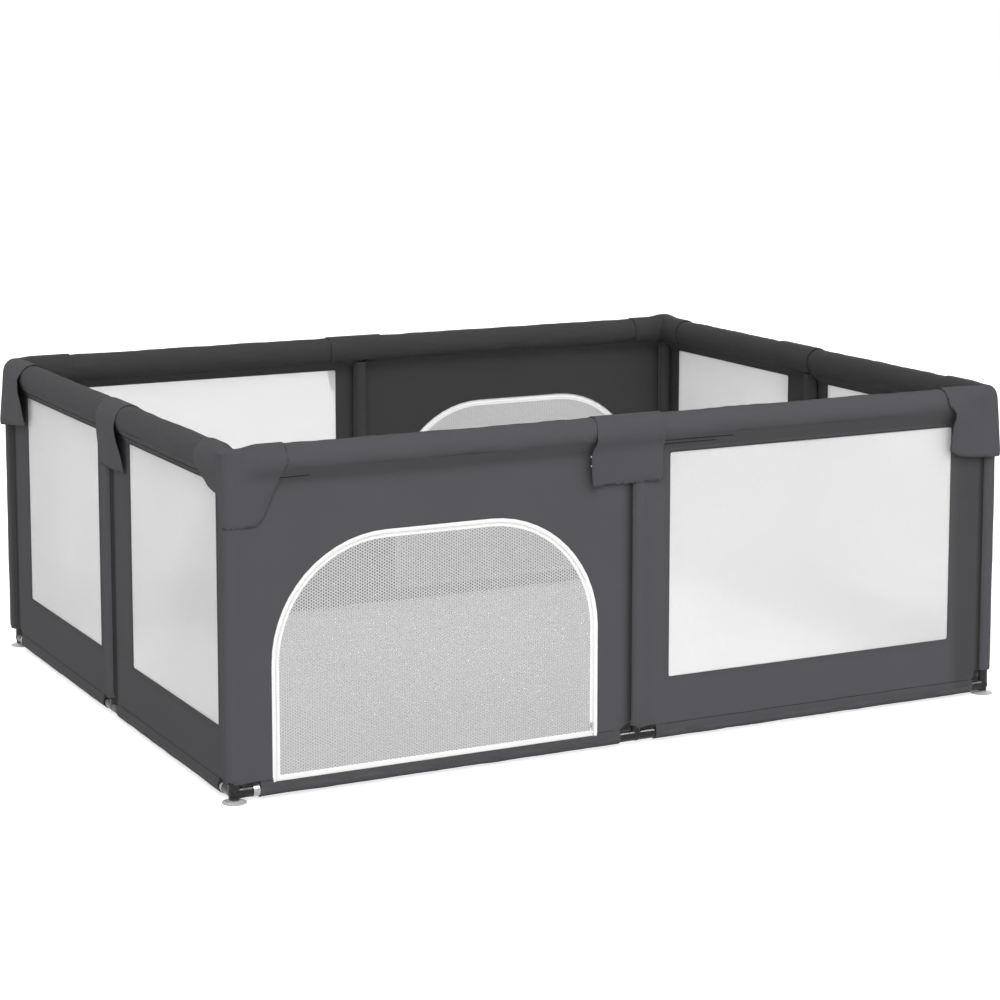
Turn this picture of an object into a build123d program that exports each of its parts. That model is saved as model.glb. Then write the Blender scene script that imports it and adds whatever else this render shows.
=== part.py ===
"""Rectangular fabric playpen on a steel tube frame, with two arched zip doors.

Row frame: millimetres, +X along the long side, +Y from the front to the back, +Z up.
The origin is on the floor, under the middle of the pen.

The front and the back are alike, turned half round; the left and right sides differ only in
where their windows and middle caps sit. Each side is drawn in its own frame: x runs along the
side from its first corner post, y points into the pen and z points up.
"""

import os
from math import atan2, cos, degrees, radians, sin, sqrt

from build123d import *

# ---------------------------------------------------------------- overall size
pen_length = 1720.0  # between the axes of the corner posts, along X
pen_width = 1350.0  # between the axes of the corner posts, along Y
pen_height = 673.0  # floor to the top of the caps

# ---------------------------------------------------------------- steel tubes
tube_d = 25.0
tube_wall = 0.8
bottom_rail_z = 19.0  # axis of the bottom rails above the floor

# ---------------------------------------------------------------- plastic connectors
spigot_fit = 0.05  # radial, a spigot in its tube
spigot_depth = 38.0
spigot_lead = 3.0  # tapered tip of a spigot
spigot_lead_taper = 1.2
arm_d = 24.2  # bare arm between the core and the tube
core_d = 26.0
corner_reach = 35.0  # corner connector, centre to the end of the tube
tee_reach = 41.0  # middle connector, centre to the end of the tube
stop_width = 2.0  # collar that the tube's end meets

# ---------------------------------------------------------------- suction cups
cup_d = 47.0
cup_height = 6.0
cup_lip_width = 4.0
cup_lip_height = 1.0
cup_hollow_depth = 2.6
cup_hollow_top_d = 12.0
cup_neck_d = 18.0
cup_neck_height = 1.5
cup_stem_d = 8.0
cup_stem_length = 8.0
cup_stem_fit = 0.05  # radial, the stem in its boss
boss_d = 22.0
boss_hole_spare = 0.5  # hole depth past the stem

# ---------------------------------------------------------------- foam and cover
foam_d = 56.0
sewn_gap = 0.2  # between pieces that are sewn or threaded together
lay_gap = 0.3  # between a soft piece and what it lies on
wrap_wall = 2.0  # cover round the foam
hem_wall = 1.5  # cover round the bottom rail
sleeve_wall = 4.0  # cover round a post, with its seam allowance
panel_wall = 4.0  # lined cover between the posts
panel_set = 8.0  # middle of the panel, outside the axes of the rails
bare_tube = 13.5  # bottom rail left bare at a corner
bare_tube_window = 0.5  # the same, where the long window panel ends
wrap_corner_setback = 34.0  # end of the foam and its cover from a corner post's axis
wrap_tee_setback = 20.0  # the same, from a middle post's axis
skirt_lift = 18.0  # lower edge of the panel beside a post, above the rail's axis
skirt_flare = 16.0  # how much higher that edge runs at the groove before a post
window_sleeve_lift = 17.0  # how much higher the corner sleeve of the long window panel ends
sleeve_slit = 22.5  # edge of the panel under that sleeve, from the post's axis
sleeve_slit_rise = 3.0  # foot of that edge above the panel's lower edge
sleeve_top_drop = 0.5  # top of the sleeves under the cover of the top rails

# ---------------------------------------------------------------- windows
window_sill = 126.5  # lower edge above the floor
window_head_drop = 50.5  # upper edge below the axis of the top rails
window_corner = 4.0
# windows of the long sides: from the middle post's axis, and from the corner post's axis
front_window = (71.0, 101.0)
back_window = (61.0, 101.0)
# windows of the short sides, from the post before them and the post after them
right_windows = ((110.0, 61.0), (107.0, 61.0))
left_windows = ((124.0, 58.0), (141.0, 50.0))
netting_wall = 1.0

# ---------------------------------------------------------------- doors and zips
door_start = 74.5  # doorway edge from the corner post's axis
door_end = 94.5  # doorway edge from the middle post's axis
door_head = 490.0  # top of the doorway above the floor
door_arch = 235.0  # radius of the doorway's shoulders
tape_wall = 2.0
outer_tape_width = 7.0  # zip tape sewn round the doorway
inner_tape_width = 7.0  # zip tape sewn round the door
zip_gap = 0.6  # between the two tapes
door_hem_height = 10.0  # band along the bottom of the door

slider_width = 6.4
slider_height = 11.0
slider_wall = 2.5
slider_corner = 1.8
slider_lift = 16.0  # lower edge of the slider above the hinge line
pull_width = 3.4
pull_length = 13.0  # below its pin
pull_wall = 1.2
pull_pin_d = 1.6
pull_pin_fit = 0.08  # radial, the pull's eye on the pin
pull_eye_wall = 1.2
pull_ear = 1.1  # thickness of each ear that holds the pin
pull_side_gap = 0.25

# ---------------------------------------------------------------- caps over the connectors
cap_wall = 3.0
cap_inside_drop = 50.0  # degrees that a cap wraps below the rail's axis on the inside
cap_drop = 119.5  # lower edge of the corner caps, below the same axis
cap_tuck = 30.0  # degrees that a cap follows the rail below its axis on the outside
# free edge of each leg, as reach from the post's axis and drop below the axis of the top rails
short_cap = (
    ((103.0, 0.0), (87.0, 41.5), (56.0, 114.0), (46.0, 119.5)),
    ((108.0, 38.0), (92.0, 41.0), (72.0, 53.0), (31.0, 59.0), (21.0, 66.0), (18.0, 119.5)),
)
long_cap = (
    ((142.0, 0.0), (149.0, 60.0), (148.0, 104.0), (20.0, 119.5)),
    ((141.0, 0.0), (112.0, 41.5), (104.0, 98.0), (96.0, 105.0), (36.0, 119.5)),
)
# shift of each middle cap from its post's axis, along the side, and its width
front_cap = (-34.0, 168.0)
right_cap = (38.0, 168.0)
back_cap = (12.0, 160.0)
left_cap = (62.0, 146.0)
straight_caps = ("front_right", "back_left", "left")  # these hang clear of the cover on the outside
flap_drop = 105.0  # lower edge below the flap's hinge
flap_corner = 20.0

# ---------------------------------------------------------------- worked out from the above
tube_r = tube_d / 2
spigot_r = tube_r - tube_wall - spigot_fit
arm_r = arm_d / 2
hem_in_r = tube_r + lay_gap
hem_r = hem_in_r + hem_wall
sleeve_in_r = tube_r + lay_gap
sleeve_r = sleeve_in_r + sleeve_wall
foam_in_r = tube_r + lay_gap
foam_r = foam_d / 2
wrap_in_r = foam_r + sewn_gap
wrap_r = wrap_in_r + wrap_wall
cap_in_r = wrap_r + lay_gap
cap_r = cap_in_r + cap_wall
flap_y = -(cap_in_r + cap_r) / 2
hug_in_r = sleeve_r + lay_gap  # inner face of the hanging sides of the caps
hug_r = hug_in_r + cap_wall
top_rail_z = pen_height - cap_r
sleeve_low = bottom_rail_z + skirt_lift
sleeve_high = top_rail_z - wrap_r - sleeve_top_drop
window_head = top_rail_z - window_head_drop
cap_low = top_rail_z - cap_drop
long_bay = pen_length / 2
short_bay = pen_width / 2
panel_face = panel_set + panel_wall / 2
panel_back = panel_set - panel_wall / 2
tape_face = panel_set + tape_wall / 2
door_hinge_z = bottom_rail_z + sqrt((hem_r + tape_wall / 2 + lay_gap) ** 2 - panel_set**2)
doorway_z = bottom_rail_z + sqrt((hem_r + lay_gap) ** 2 - (panel_set - tape_wall / 2) ** 2)
slider_back = tape_face + sewn_gap
slider_face = slider_back + slider_wall
pull_eye_r = pull_pin_d / 2 + pull_pin_fit + pull_eye_wall
pull_pin_y = -(slider_face + pull_eye_r + lay_gap)
slider_z = door_hinge_z + slider_lift + slider_height / 2
slider_x = long_bay - door_end - outer_tape_width - zip_gap - inner_tape_width / 2
pull_pin_z = slider_z + slider_height / 4
flap_hinge_z = top_rail_z - cap_wall / 2 - lay_gap
flap_low = flap_hinge_z - flap_drop

FROM_BASE = (Align.CENTER, Align.CENTER, Align.MIN)


def turned(x, y, quarter_turns):
    """The frame of a side or corner whose origin is at (x, y), turned about Z."""
    angle = radians(90 * quarter_turns)
    return Plane(origin=(x, y, 0), x_dir=(cos(angle), sin(angle), 0), z_dir=(0, 0, 1))


half_x, half_y = pen_length / 2, pen_width / 2
corners = {
    "front_left": turned(-half_x, -half_y, 0),
    "front_right": turned(half_x, -half_y, 1),
    "back_right": turned(half_x, half_y, 2),
    "back_left": turned(-half_x, half_y, 3),
}
middles = {
    "front": turned(0, -half_y, 0),
    "right": turned(half_x, 0, 1),
    "back": turned(0, half_y, 2),
    "left": turned(-half_x, 0, 3),
}
# each side: its first corner, the length of its two bays, and its middle cap
sides = {
    "front": ("front_left", long_bay, front_cap),
    "right": ("front_right", short_bay, right_cap),
    "back": ("back_right", long_bay, back_cap),
    "left": ("back_left", short_bay, left_cap),
}


def save(part, name):
    """Writes one node."""
    os.makedirs("parts", exist_ok=True)
    part.label = name
    export_step(part, f"parts/{name}.step")


def save_at(local, frames, name):
    """Writes one node that holds a copy of a piece in each of the frames."""
    with BuildPart(*frames) as placed:
        add(local)
    save(placed.part, name)


def rod_along_x(z, start, end, radius, mode=Mode.ADD):
    """A rod along x with its axis at height z, added to the current part or cut from it."""
    with Locations(Plane(origin=(start, 0, z), z_dir=(1, 0, 0))):
        Cylinder(radius, end - start, align=FROM_BASE, mode=mode)


# ================================================================ steel tubes
def rail_tubes(z, bay):
    """The two rail tubes of one side, between its three connectors."""
    with BuildPart() as tubes:
        for start, end in (
            (corner_reach, bay - tee_reach),
            (bay + tee_reach, 2 * bay - corner_reach),
        ):
            rod_along_x(z, start, end, tube_r)
            rod_along_x(z, start, end, tube_r - tube_wall, Mode.SUBTRACT)
    return tubes.part


def post_tube(reach):
    """One upright tube between a bottom and a top connector."""
    low, high = bottom_rail_z + reach, top_rail_z - reach
    with BuildPart() as post:
        with BuildSketch(Plane.XY.offset(low)):
            Circle(tube_r)
            Circle(tube_r - tube_wall, mode=Mode.SUBTRACT)
        extrude(amount=high - low)
    return post.part


for side, (first, bay, _) in sides.items():
    save_at(rail_tubes(bottom_rail_z, bay), [corners[first]], f"bottom_rails_{side}")
    save_at(rail_tubes(top_rail_z, bay), [corners[first]], f"top_rails_{side}")
save_at(post_tube(corner_reach), corners.values(), "corner_posts")
save_at(post_tube(tee_reach), middles.values(), "middle_posts")


# ================================================================ connectors
def add_arm(z, direction, reach):
    """One arm of a connector at height z: bare arm, collar, and a spigot with a tapered tip."""
    base = Plane(origin=(0, 0, z), z_dir=direction)
    with Locations(base):
        Cylinder(arm_r, reach, align=FROM_BASE)
    with Locations(base.offset(reach - stop_width)):
        Cylinder(tube_r, stop_width, align=FROM_BASE)
    with Locations(base.offset(reach)):
        Cylinder(spigot_r, spigot_depth - spigot_lead, align=FROM_BASE)
    with Locations(base.offset(reach + spigot_depth - spigot_lead)):
        Cone(spigot_r, spigot_r - spigot_lead_taper, spigot_lead, align=FROM_BASE)


def corner_connector(z, upright, with_boss):
    """Three-way corner; the bottom ones have a boss for the suction cup's stem."""
    with BuildPart() as corner:
        with Locations((0, 0, z)):
            Sphere(core_d / 2)
        for direction in ((1, 0, 0), (0, 1, 0), (0, 0, upright)):
            add_arm(z, direction, corner_reach)
        if with_boss:
            with Locations((0, 0, cup_height)):
                Cylinder(boss_d / 2, z - cup_height, align=FROM_BASE)
                Cylinder(
                    cup_stem_d / 2 + cup_stem_fit,
                    cup_stem_length + boss_hole_spare,
                    align=FROM_BASE,
                    mode=Mode.SUBTRACT,
                )
    return corner.part


def tee_connector(z, upright):
    """Three-way tee in the middle of a side."""
    with BuildPart() as tee:
        with Locations((0, 0, z)):
            Sphere(core_d / 2)
        for direction in ((1, 0, 0), (-1, 0, 0), (0, 0, upright)):
            add_arm(z, direction, tee_reach)
    return tee.part


bottom_corner = corner_connector(bottom_rail_z, 1, True)
top_corner = corner_connector(top_rail_z, -1, False)
bottom_tee = tee_connector(bottom_rail_z, 1)
for place, frame in corners.items():
    save_at(bottom_corner, [frame], f"bottom_corner_{place}")
    save_at(top_corner, [frame], f"top_corner_{place}")
for place, frame in middles.items():
    save_at(bottom_tee, [frame], f"bottom_tee_{place}")
save_at(tee_connector(top_rail_z, -1), middles.values(), "top_tees")


# ================================================================ suction cups
def suction_cup():
    """Soft cup with a hollow underside and a stem that presses into the corner's boss."""
    lip_r, neck_r, stem_r = cup_d / 2, cup_neck_d / 2, cup_stem_d / 2
    neck_z = cup_height - cup_neck_height
    dish = ((lip_r + neck_r) / 2 - cup_neck_height / 2, (cup_lip_height + neck_z) / 2 - cup_neck_height / 4)
    with BuildPart() as cup:
        with BuildSketch(Plane.XZ):
            with BuildLine():
                Polyline(
                    (0, cup_hollow_depth),
                    (cup_hollow_top_d / 2, cup_hollow_depth),
                    (lip_r - cup_lip_width, 0),
                    (lip_r, 0),
                    (lip_r, cup_lip_height),
                )
                ThreePointArc((lip_r, cup_lip_height), dish, (neck_r, neck_z))
                Polyline(
                    (neck_r, neck_z),
                    (neck_r, cup_height),
                    (stem_r, cup_height),
                    (stem_r, cup_height + cup_stem_length),
                    (0, cup_height + cup_stem_length),
                    (0, cup_hollow_depth),
                )
            make_face()
        revolve(axis=Axis.Z)
    return cup.part


cup_piece = suction_cup()
for place, frame in corners.items():
    save_at(cup_piece, [frame], f"suction_cup_{place}")


# ================================================================ foam round the top rails
def foam_sleeves(bay):
    """The two foam sleeves of one side."""
    with BuildPart() as foam:
        for start, end in (
            (wrap_corner_setback, bay - wrap_tee_setback),
            (bay + wrap_tee_setback, 2 * bay - wrap_corner_setback),
        ):
            rod_along_x(top_rail_z, start, end, foam_r)
            rod_along_x(top_rail_z, start, end, foam_in_r, Mode.SUBTRACT)
    return foam.part


with BuildPart() as rail_foam:
    for first, bay, _ in sides.values():
        add(corners[first].location * foam_sleeves(bay))
save(rail_foam.part, "rail_foam")


# ================================================================ cover
def door_outline(inset, low, mode=Mode.ADD):
    """The doorway's arch, moved inwards by an inset, down to a height; drawn in the XZ plane."""
    left, right = door_start + inset, long_bay - door_end - inset
    high, radius = door_head - inset, door_arch - inset
    turn = radius * (1 - sqrt(0.5))
    with BuildLine() as outline:
        Line((left, low), (left, high - radius))
        ThreePointArc((left, high - radius), (left + turn, high - turn), (left + radius, high))
        Line((left + radius, high), (right - radius, high))
        ThreePointArc((right - radius, high), (right - turn, high - turn), (right, high - radius))
        Polyline((right, high - radius), (right, low), (left, low))
    make_face(outline.edges(), mode=mode)


def window_outline(start, end, inset=0.0):
    """A window with rounded corners between two places along the side, in the XZ plane."""
    width, height = end - start - 2 * inset, window_head - window_sill - 2 * inset
    with Locations(((start + end) / 2, (window_sill + window_head) / 2)):
        RectangleRounded(width, height, window_corner - inset)


def cover_panel(
    bay, starts_at_corner, owns_start, owns_end, opening, opening_args, bare=bare_tube, end_lift=0.0
):
    """One bay of the cover, with the sleeves of the posts that are sewn to it.

    The cover wraps the foam above and the bottom rail below. Where its panel doesn't carry the
    post's sleeve it ends in a groove beside it. The sleeve at its end may stop higher.
    """
    hem_corner = corner_reach + bare
    hem_tee = tee_reach + lay_gap
    hem_start, hem_end = (hem_corner, bay - hem_tee) if starts_at_corner else (hem_tee, bay - hem_corner)
    setbacks = (wrap_corner_setback, wrap_tee_setback)
    wrap_start, wrap_back = setbacks if starts_at_corner else setbacks[::-1]
    wrap_end = bay - wrap_back
    groove = sqrt(sleeve_r**2 - panel_back**2) + lay_gap
    panel_start, start_low = (0, sleeve_low) if owns_start else (groove, sleeve_low + skirt_flare)
    panel_end, end_low = (bay, sleeve_low + end_lift) if owns_end else (bay - groove, sleeve_low + skirt_flare)
    slit = [(bay - sleeve_slit, sleeve_low + sleeve_slit_rise), (bay - sleeve_slit, end_low)] if end_lift else []
    posts = [(0, sleeve_low)] * owns_start + [(bay, sleeve_low + end_lift)] * owns_end
    middle = Plane.XZ.offset(panel_set)
    with BuildPart() as panel:
        with BuildSketch(middle):
            with BuildLine():
                Polyline(
                    (panel_start, start_low),
                    (hem_start, sleeve_low),
                    (hem_start, bottom_rail_z),
                    (hem_end, bottom_rail_z),
                    (hem_end, sleeve_low),
                    *slit,
                    (panel_end, end_low),
                    (panel_end, sleeve_high),
                    (wrap_end, sleeve_high),
                    (wrap_end, top_rail_z),
                    (wrap_start, top_rail_z),
                    (wrap_start, sleeve_high),
                    (panel_start, sleeve_high),
                    close=True,
                )
            make_face()
        extrude(amount=panel_wall / 2, both=True)
        with BuildSketch(middle):
            opening(*opening_args)
        extrude(amount=panel_wall / 2, both=True, mode=Mode.SUBTRACT)
        rod_along_x(bottom_rail_z, hem_start, hem_end, hem_r)
        rod_along_x(top_rail_z, wrap_start, wrap_end, wrap_r)
        for x, low in posts:
            with Locations((x, 0, low)):
                Cylinder(sleeve_r, sleeve_high - low, align=FROM_BASE)
        rod_along_x(bottom_rail_z, hem_start, hem_end, hem_in_r, Mode.SUBTRACT)
        rod_along_x(top_rail_z, wrap_start, wrap_end, wrap_in_r, Mode.SUBTRACT)
        for x, low in posts:
            with Locations((x, 0, low)):
                Cylinder(sleeve_in_r, sleeve_high - low, align=FROM_BASE, mode=Mode.SUBTRACT)
    return panel.part


def netting_sheet(spans):
    """The netting of the windows that lie in these spans of one side."""
    with BuildPart() as netting:
        with BuildSketch(Plane.XZ.offset(panel_set)):
            for start, end in spans:
                window_outline(start, end, sewn_gap)
        extrude(amount=netting_wall / 2, both=True)
    return netting.part


door_panel = cover_panel(long_bay, True, True, False, door_outline, (0.0, bottom_rail_z))
for side, first, (start, end) in (("front", "front_left", front_window), ("back", "back_right", back_window)):
    window = (start, long_bay - end)
    window_panel = cover_panel(
        long_bay, False, True, True, window_outline, window, bare_tube_window, window_sleeve_lift
    )
    save_at(door_panel, [corners[first]], f"cover_{side}_door")
    save_at(window_panel, [middles[side]], f"cover_{side}_window")
    save_at(netting_sheet([window]), [middles[side]], f"window_netting_{side}")

for side, near, far, windows in (
    ("right", "front", "rear", right_windows),
    ("left", "rear", "front", left_windows),
):
    first, second = [(start, short_bay - end) for start, end in windows]
    corner_panel = cover_panel(short_bay, True, False, True, window_outline, first)
    middle_panel = cover_panel(short_bay, False, False, False, window_outline, second)
    save_at(corner_panel, [corners[sides[side][0]]], f"cover_{side}_{near}")
    save_at(middle_panel, [middles[side]], f"cover_{side}_{far}")
    netting = netting_sheet([first, (short_bay + second[0], short_bay + second[1])])
    save_at(netting, [corners[sides[side][0]]], f"window_netting_{side}")


# ================================================================ doors
def doorway_tape():
    """Outer half of the zip, sewn round the sides and top of the doorway."""
    with BuildPart() as tape:
        with BuildSketch(Plane.XZ.offset(panel_set)):
            door_outline(sewn_gap, doorway_z)
            door_outline(outer_tape_width, doorway_z, Mode.SUBTRACT)
        extrude(amount=tape_wall / 2, both=True)
    return tape.part


door_inset = outer_tape_width + zip_gap
net_inset = door_inset + inner_tape_width


def door_border():
    """Inner half of the zip and the bottom band, with the bead that the door hinges on."""
    with BuildPart() as border:
        with BuildSketch(Plane.XZ.offset(panel_set)):
            door_outline(door_inset, door_hinge_z)
            door_outline(net_inset, door_hinge_z + door_hem_height, Mode.SUBTRACT)
        extrude(amount=tape_wall / 2, both=True)
        with BuildSketch(Plane.YZ.offset(door_start + door_inset)):
            with Locations((-panel_set, door_hinge_z)):
                Circle(tape_wall / 2)
        extrude(amount=long_bay - door_end - door_start - 2 * door_inset)
    return border.part


def door_netting():
    """Netting inside the door's border."""
    with BuildPart() as netting:
        with BuildSketch(Plane.XZ.offset(panel_set)):
            door_outline(net_inset + sewn_gap, door_hinge_z + door_hem_height + sewn_gap)
        extrude(amount=netting_wall / 2, both=True)
    return netting.part


def zip_slider():
    """Slider on the zip, with two ears and the pin that carries the pull."""
    ear_reach = -pull_pin_y + pull_pin_d / 2 - slider_face
    ear_height = pull_pin_d + 2 * pull_eye_wall
    ear_x = pull_width / 2 + pull_side_gap + pull_ear / 2
    with BuildPart() as slider:
        with BuildSketch(Plane.XZ.offset(slider_back)):
            with Locations((slider_x, slider_z)):
                RectangleRounded(slider_width, slider_height, slider_corner)
        extrude(amount=slider_wall)
        with BuildSketch(Plane.XZ.offset(slider_face)):
            with Locations((slider_x - ear_x, pull_pin_z), (slider_x + ear_x, pull_pin_z)):
                Rectangle(pull_ear, ear_height)
        extrude(amount=ear_reach)
        with BuildSketch(Plane.YZ.offset(slider_x - ear_x)):
            with Locations((pull_pin_y, pull_pin_z)):
                Circle(pull_pin_d / 2)
        extrude(amount=2 * ear_x)
    return slider.part


def zip_pull():
    """Flat pull that hangs on the slider's pin by an eye."""
    with BuildPart() as pull:
        with BuildSketch(Plane.YZ.offset(slider_x - pull_width / 2)):
            with Locations((pull_pin_y, pull_pin_z)):
                Circle(pull_eye_r)
            with Locations((pull_pin_y, pull_pin_z - pull_length / 2)):
                Rectangle(pull_wall, pull_length)
            with Locations((pull_pin_y, pull_pin_z)):
                Circle(pull_pin_d / 2 + pull_pin_fit, mode=Mode.SUBTRACT)
        extrude(amount=pull_width)
    return pull.part


door_pieces = {
    "doorway_tape": doorway_tape(),
    "door_border": door_border(),
    "door_netting": door_netting(),
    "zip_slider": zip_slider(),
    "zip_pull": zip_pull(),
}
for door, first in (("front", "front_left"), ("back", "back_right")):
    for piece, local in door_pieces.items():
        save_at(local, [corners[first]], f"{door}_{piece}")


# ================================================================ caps
def cap_arcs(inner_end, outer_end=180.0):
    """Both arcs of a cap's section, from its inner end over the rail to its outer end."""
    for radius in (cap_in_r, cap_r):
        CenterArc((0, top_rail_z), radius, inner_end, outer_end - inner_end)
    end = radians(inner_end)
    Line(
        (cap_in_r * cos(end), top_rail_z + cap_in_r * sin(end)),
        (cap_r * cos(end), top_rail_z + cap_r * sin(end)),
    )


def hanging_side(low, tuck, high=top_rail_z):
    """The outer side of a cap's section: straight down, or off the rail and down beside the posts."""
    if not tuck:
        Polyline((-cap_in_r, high), (-cap_in_r, low), (-cap_r, low), (-cap_r, high))
        return
    turn = radians(tuck)
    inner, outer = [], []
    for radius, hug, corners_of in ((cap_in_r, hug_in_r, inner), (cap_r, hug_r, outer)):
        run = (radius * cos(turn) - hug) / sin(turn)
        corners_of.append((-radius * cos(turn), top_rail_z - radius * sin(turn)))
        corners_of.append((-hug, top_rail_z - radius * sin(turn) - run * cos(turn)))
        corners_of.append((-hug, low))
    Polyline(*inner, *reversed(outer))


def cap_leg(edge, tuck):
    """One leg of a corner cap along x, mitred on the inside of the corner."""
    far = max(reach for reach, _ in edge)
    with BuildPart() as leg:
        with BuildSketch(Plane.YZ):
            with BuildLine():
                cap_arcs(-cap_inside_drop, 180 + tuck)
                hanging_side(cap_low, tuck)
            make_face()
        extrude(amount=far)
        with BuildSketch(Plane.XZ):
            with BuildLine():
                Polyline(
                    (-cap_r, pen_height),
                    (edge[0][0], pen_height),
                    *((reach, top_rail_z - drop) for reach, drop in edge),
                    (-cap_r, cap_low),
                    close=True,
                )
            make_face()
        extrude(amount=2 * cap_r, both=True, mode=Mode.INTERSECT)
        split(bisect_by=diagonal, keep=Keep.TOP)
    return leg.part


diagonal = Plane(origin=(0, 0, 0), z_dir=(1, -1, 0))


def corner_cap(first, second, tuck):
    """Cap over a corner: two legs mitred on the inside, and a rounded corner on the outside."""
    with BuildPart() as cap:
        add(cap_leg(first, tuck))
        add(cap_leg(second, tuck).mirror(diagonal))
        with BuildSketch(Plane.XZ):
            with BuildLine():
                cap_arcs(90, 180 + tuck)
                hanging_side(cap_low, tuck)
            make_face()
        revolve(axis=Axis.Z, revolution_arc=90)
    return cap.part


def middle_saddle(shift, width):
    """Fixed part of a middle cap, over the rail."""
    with BuildPart() as saddle:
        with BuildSketch(Plane.YZ.offset(shift - width / 2)):
            with BuildLine():
                cap_arcs(-cap_inside_drop)
                Line((-cap_in_r, top_rail_z), (-cap_r, top_rail_z))
            make_face()
        extrude(amount=width)
    return saddle.part


def cap_flap(shift, width, tuck):
    """Loose outer side of a middle cap, with the round bead that it hinges on."""
    height = flap_hinge_z - flap_low
    below = degrees(atan2(top_rail_z - flap_hinge_z, -flap_y))
    with BuildPart() as flap:
        with BuildSketch(Plane.YZ.offset(shift - width / 2)):
            with BuildLine():
                if tuck:
                    cap_arcs(180 + below, 180 + tuck)
                    hanging_side(flap_low, tuck)
                else:
                    Line((-cap_in_r, flap_hinge_z), (-cap_r, flap_hinge_z))
                    hanging_side(flap_low, tuck, flap_hinge_z)
            make_face()
        extrude(amount=width)
        with BuildSketch(Plane.XZ):
            with Locations((shift, flap_low + height / 2)):
                RectangleRounded(width, height, flap_corner)
            with Locations((shift, flap_hinge_z - height / 4 + cap_wall)):
                Rectangle(width, height / 2 + 2 * cap_wall)
        extrude(amount=2 * cap_r, both=True, mode=Mode.INTERSECT)
        with BuildSketch(Plane.YZ.offset(shift - width / 2)):
            with Locations((flap_y, flap_hinge_z)):
                Circle(cap_wall / 2)
        extrude(amount=width)
    return flap.part


def tuck_of(place):
    """Degrees that the cap at this place follows the rail below its axis."""
    return 0.0 if place in straight_caps else cap_tuck


caps = {"front_left": short_cap, "front_right": long_cap, "back_right": short_cap, "back_left": long_cap}
for place, legs in caps.items():
    save_at(corner_cap(*legs, tuck_of(place)), [corners[place]], f"corner_cap_{place}")

with BuildPart() as middle_caps:
    for side, (_, _, middle_cap) in sides.items():
        add(middles[side].location * middle_saddle(*middle_cap))
save(middle_caps.part, "middle_caps")
for side, (_, _, middle_cap) in sides.items():
    save_at(cap_flap(*middle_cap, tuck_of(side)), [middles[side]], f"cap_flap_{side}")
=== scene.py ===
"""Fabric playpen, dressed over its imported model: cover, netting, zip doors, caps and stage."""

from math import cos, pi, radians, sin, sqrt

import bmesh
import bpy
import numpy as np
from bpy.props import FloatProperty, FloatVectorProperty, PointerProperty
from mathutils import Matrix, Vector


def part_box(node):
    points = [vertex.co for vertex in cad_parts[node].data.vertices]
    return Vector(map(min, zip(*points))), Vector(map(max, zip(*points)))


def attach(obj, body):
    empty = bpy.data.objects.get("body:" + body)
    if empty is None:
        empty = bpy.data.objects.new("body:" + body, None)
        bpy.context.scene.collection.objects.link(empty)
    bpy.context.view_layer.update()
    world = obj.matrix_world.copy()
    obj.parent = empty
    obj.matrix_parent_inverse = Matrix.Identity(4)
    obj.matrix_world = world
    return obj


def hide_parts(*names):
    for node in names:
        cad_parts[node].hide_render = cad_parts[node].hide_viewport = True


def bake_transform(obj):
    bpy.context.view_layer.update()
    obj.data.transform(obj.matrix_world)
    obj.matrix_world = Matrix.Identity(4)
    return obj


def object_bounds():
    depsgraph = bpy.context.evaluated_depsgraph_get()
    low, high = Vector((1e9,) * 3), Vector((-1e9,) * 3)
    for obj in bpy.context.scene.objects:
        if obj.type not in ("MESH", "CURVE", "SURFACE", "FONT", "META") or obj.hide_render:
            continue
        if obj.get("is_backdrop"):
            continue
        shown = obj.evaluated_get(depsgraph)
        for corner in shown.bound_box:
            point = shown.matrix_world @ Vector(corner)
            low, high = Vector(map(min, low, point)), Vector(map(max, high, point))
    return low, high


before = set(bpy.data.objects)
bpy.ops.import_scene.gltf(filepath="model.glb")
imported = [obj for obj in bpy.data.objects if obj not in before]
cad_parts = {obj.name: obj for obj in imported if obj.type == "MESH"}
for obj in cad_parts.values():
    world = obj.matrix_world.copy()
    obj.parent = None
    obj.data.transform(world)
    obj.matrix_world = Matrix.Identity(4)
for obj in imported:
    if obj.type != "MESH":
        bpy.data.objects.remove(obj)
cad_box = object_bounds()

bl_info = {
    "name": "Playpen",
    "version": (1, 0, 0),
    "blender": (4, 5, 0),
    "location": "3D View > Sidebar > Playpen",
    "description": "Dresses the playpen's frame in its cover, netting, doors and caps",
    "category": "Add Mesh",
}


# ---------------------------------------------------------------- places read from the model
def middle(node):
    low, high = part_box(node)
    return [(a + b) / 2 for a, b in zip(low, high)]


CUP = middle("suction_cup_front_right")
HALF_X, HALF_Y = CUP[0], -CUP[1]  # half the distances between the corner posts' axes
TOP_Z = middle("top_rails_front")[2]
LOW_Z = middle("bottom_rails_front")[2]
TAPE_LOW, TAPE_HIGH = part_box("front_doorway_tape")
BORDER_LOW, BORDER_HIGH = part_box("front_door_border")

# each side: a quarter turn count and its first corner, as x to the right and z up from outside
SIDES = {"front": 0, "right": 1, "back": 2, "left": 3}
FIRST_CORNER = {
    "front": (-HALF_X, -HALF_Y),
    "right": (HALF_X, -HALF_Y),
    "back": (HALF_X, HALF_Y),
    "left": (-HALF_X, HALF_Y),
}
LONG, SHORT = HALF_X, HALF_Y  # length of one bay


def along_side(node, side):
    """Where a node starts and ends along a side, from the side's first corner."""
    axis = SIDES[side] % 2
    sign = 1 if side in ("front", "right") else -1
    return sorted((HALF_X, HALF_Y)[axis] + sign * corner[axis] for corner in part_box(node))


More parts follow.
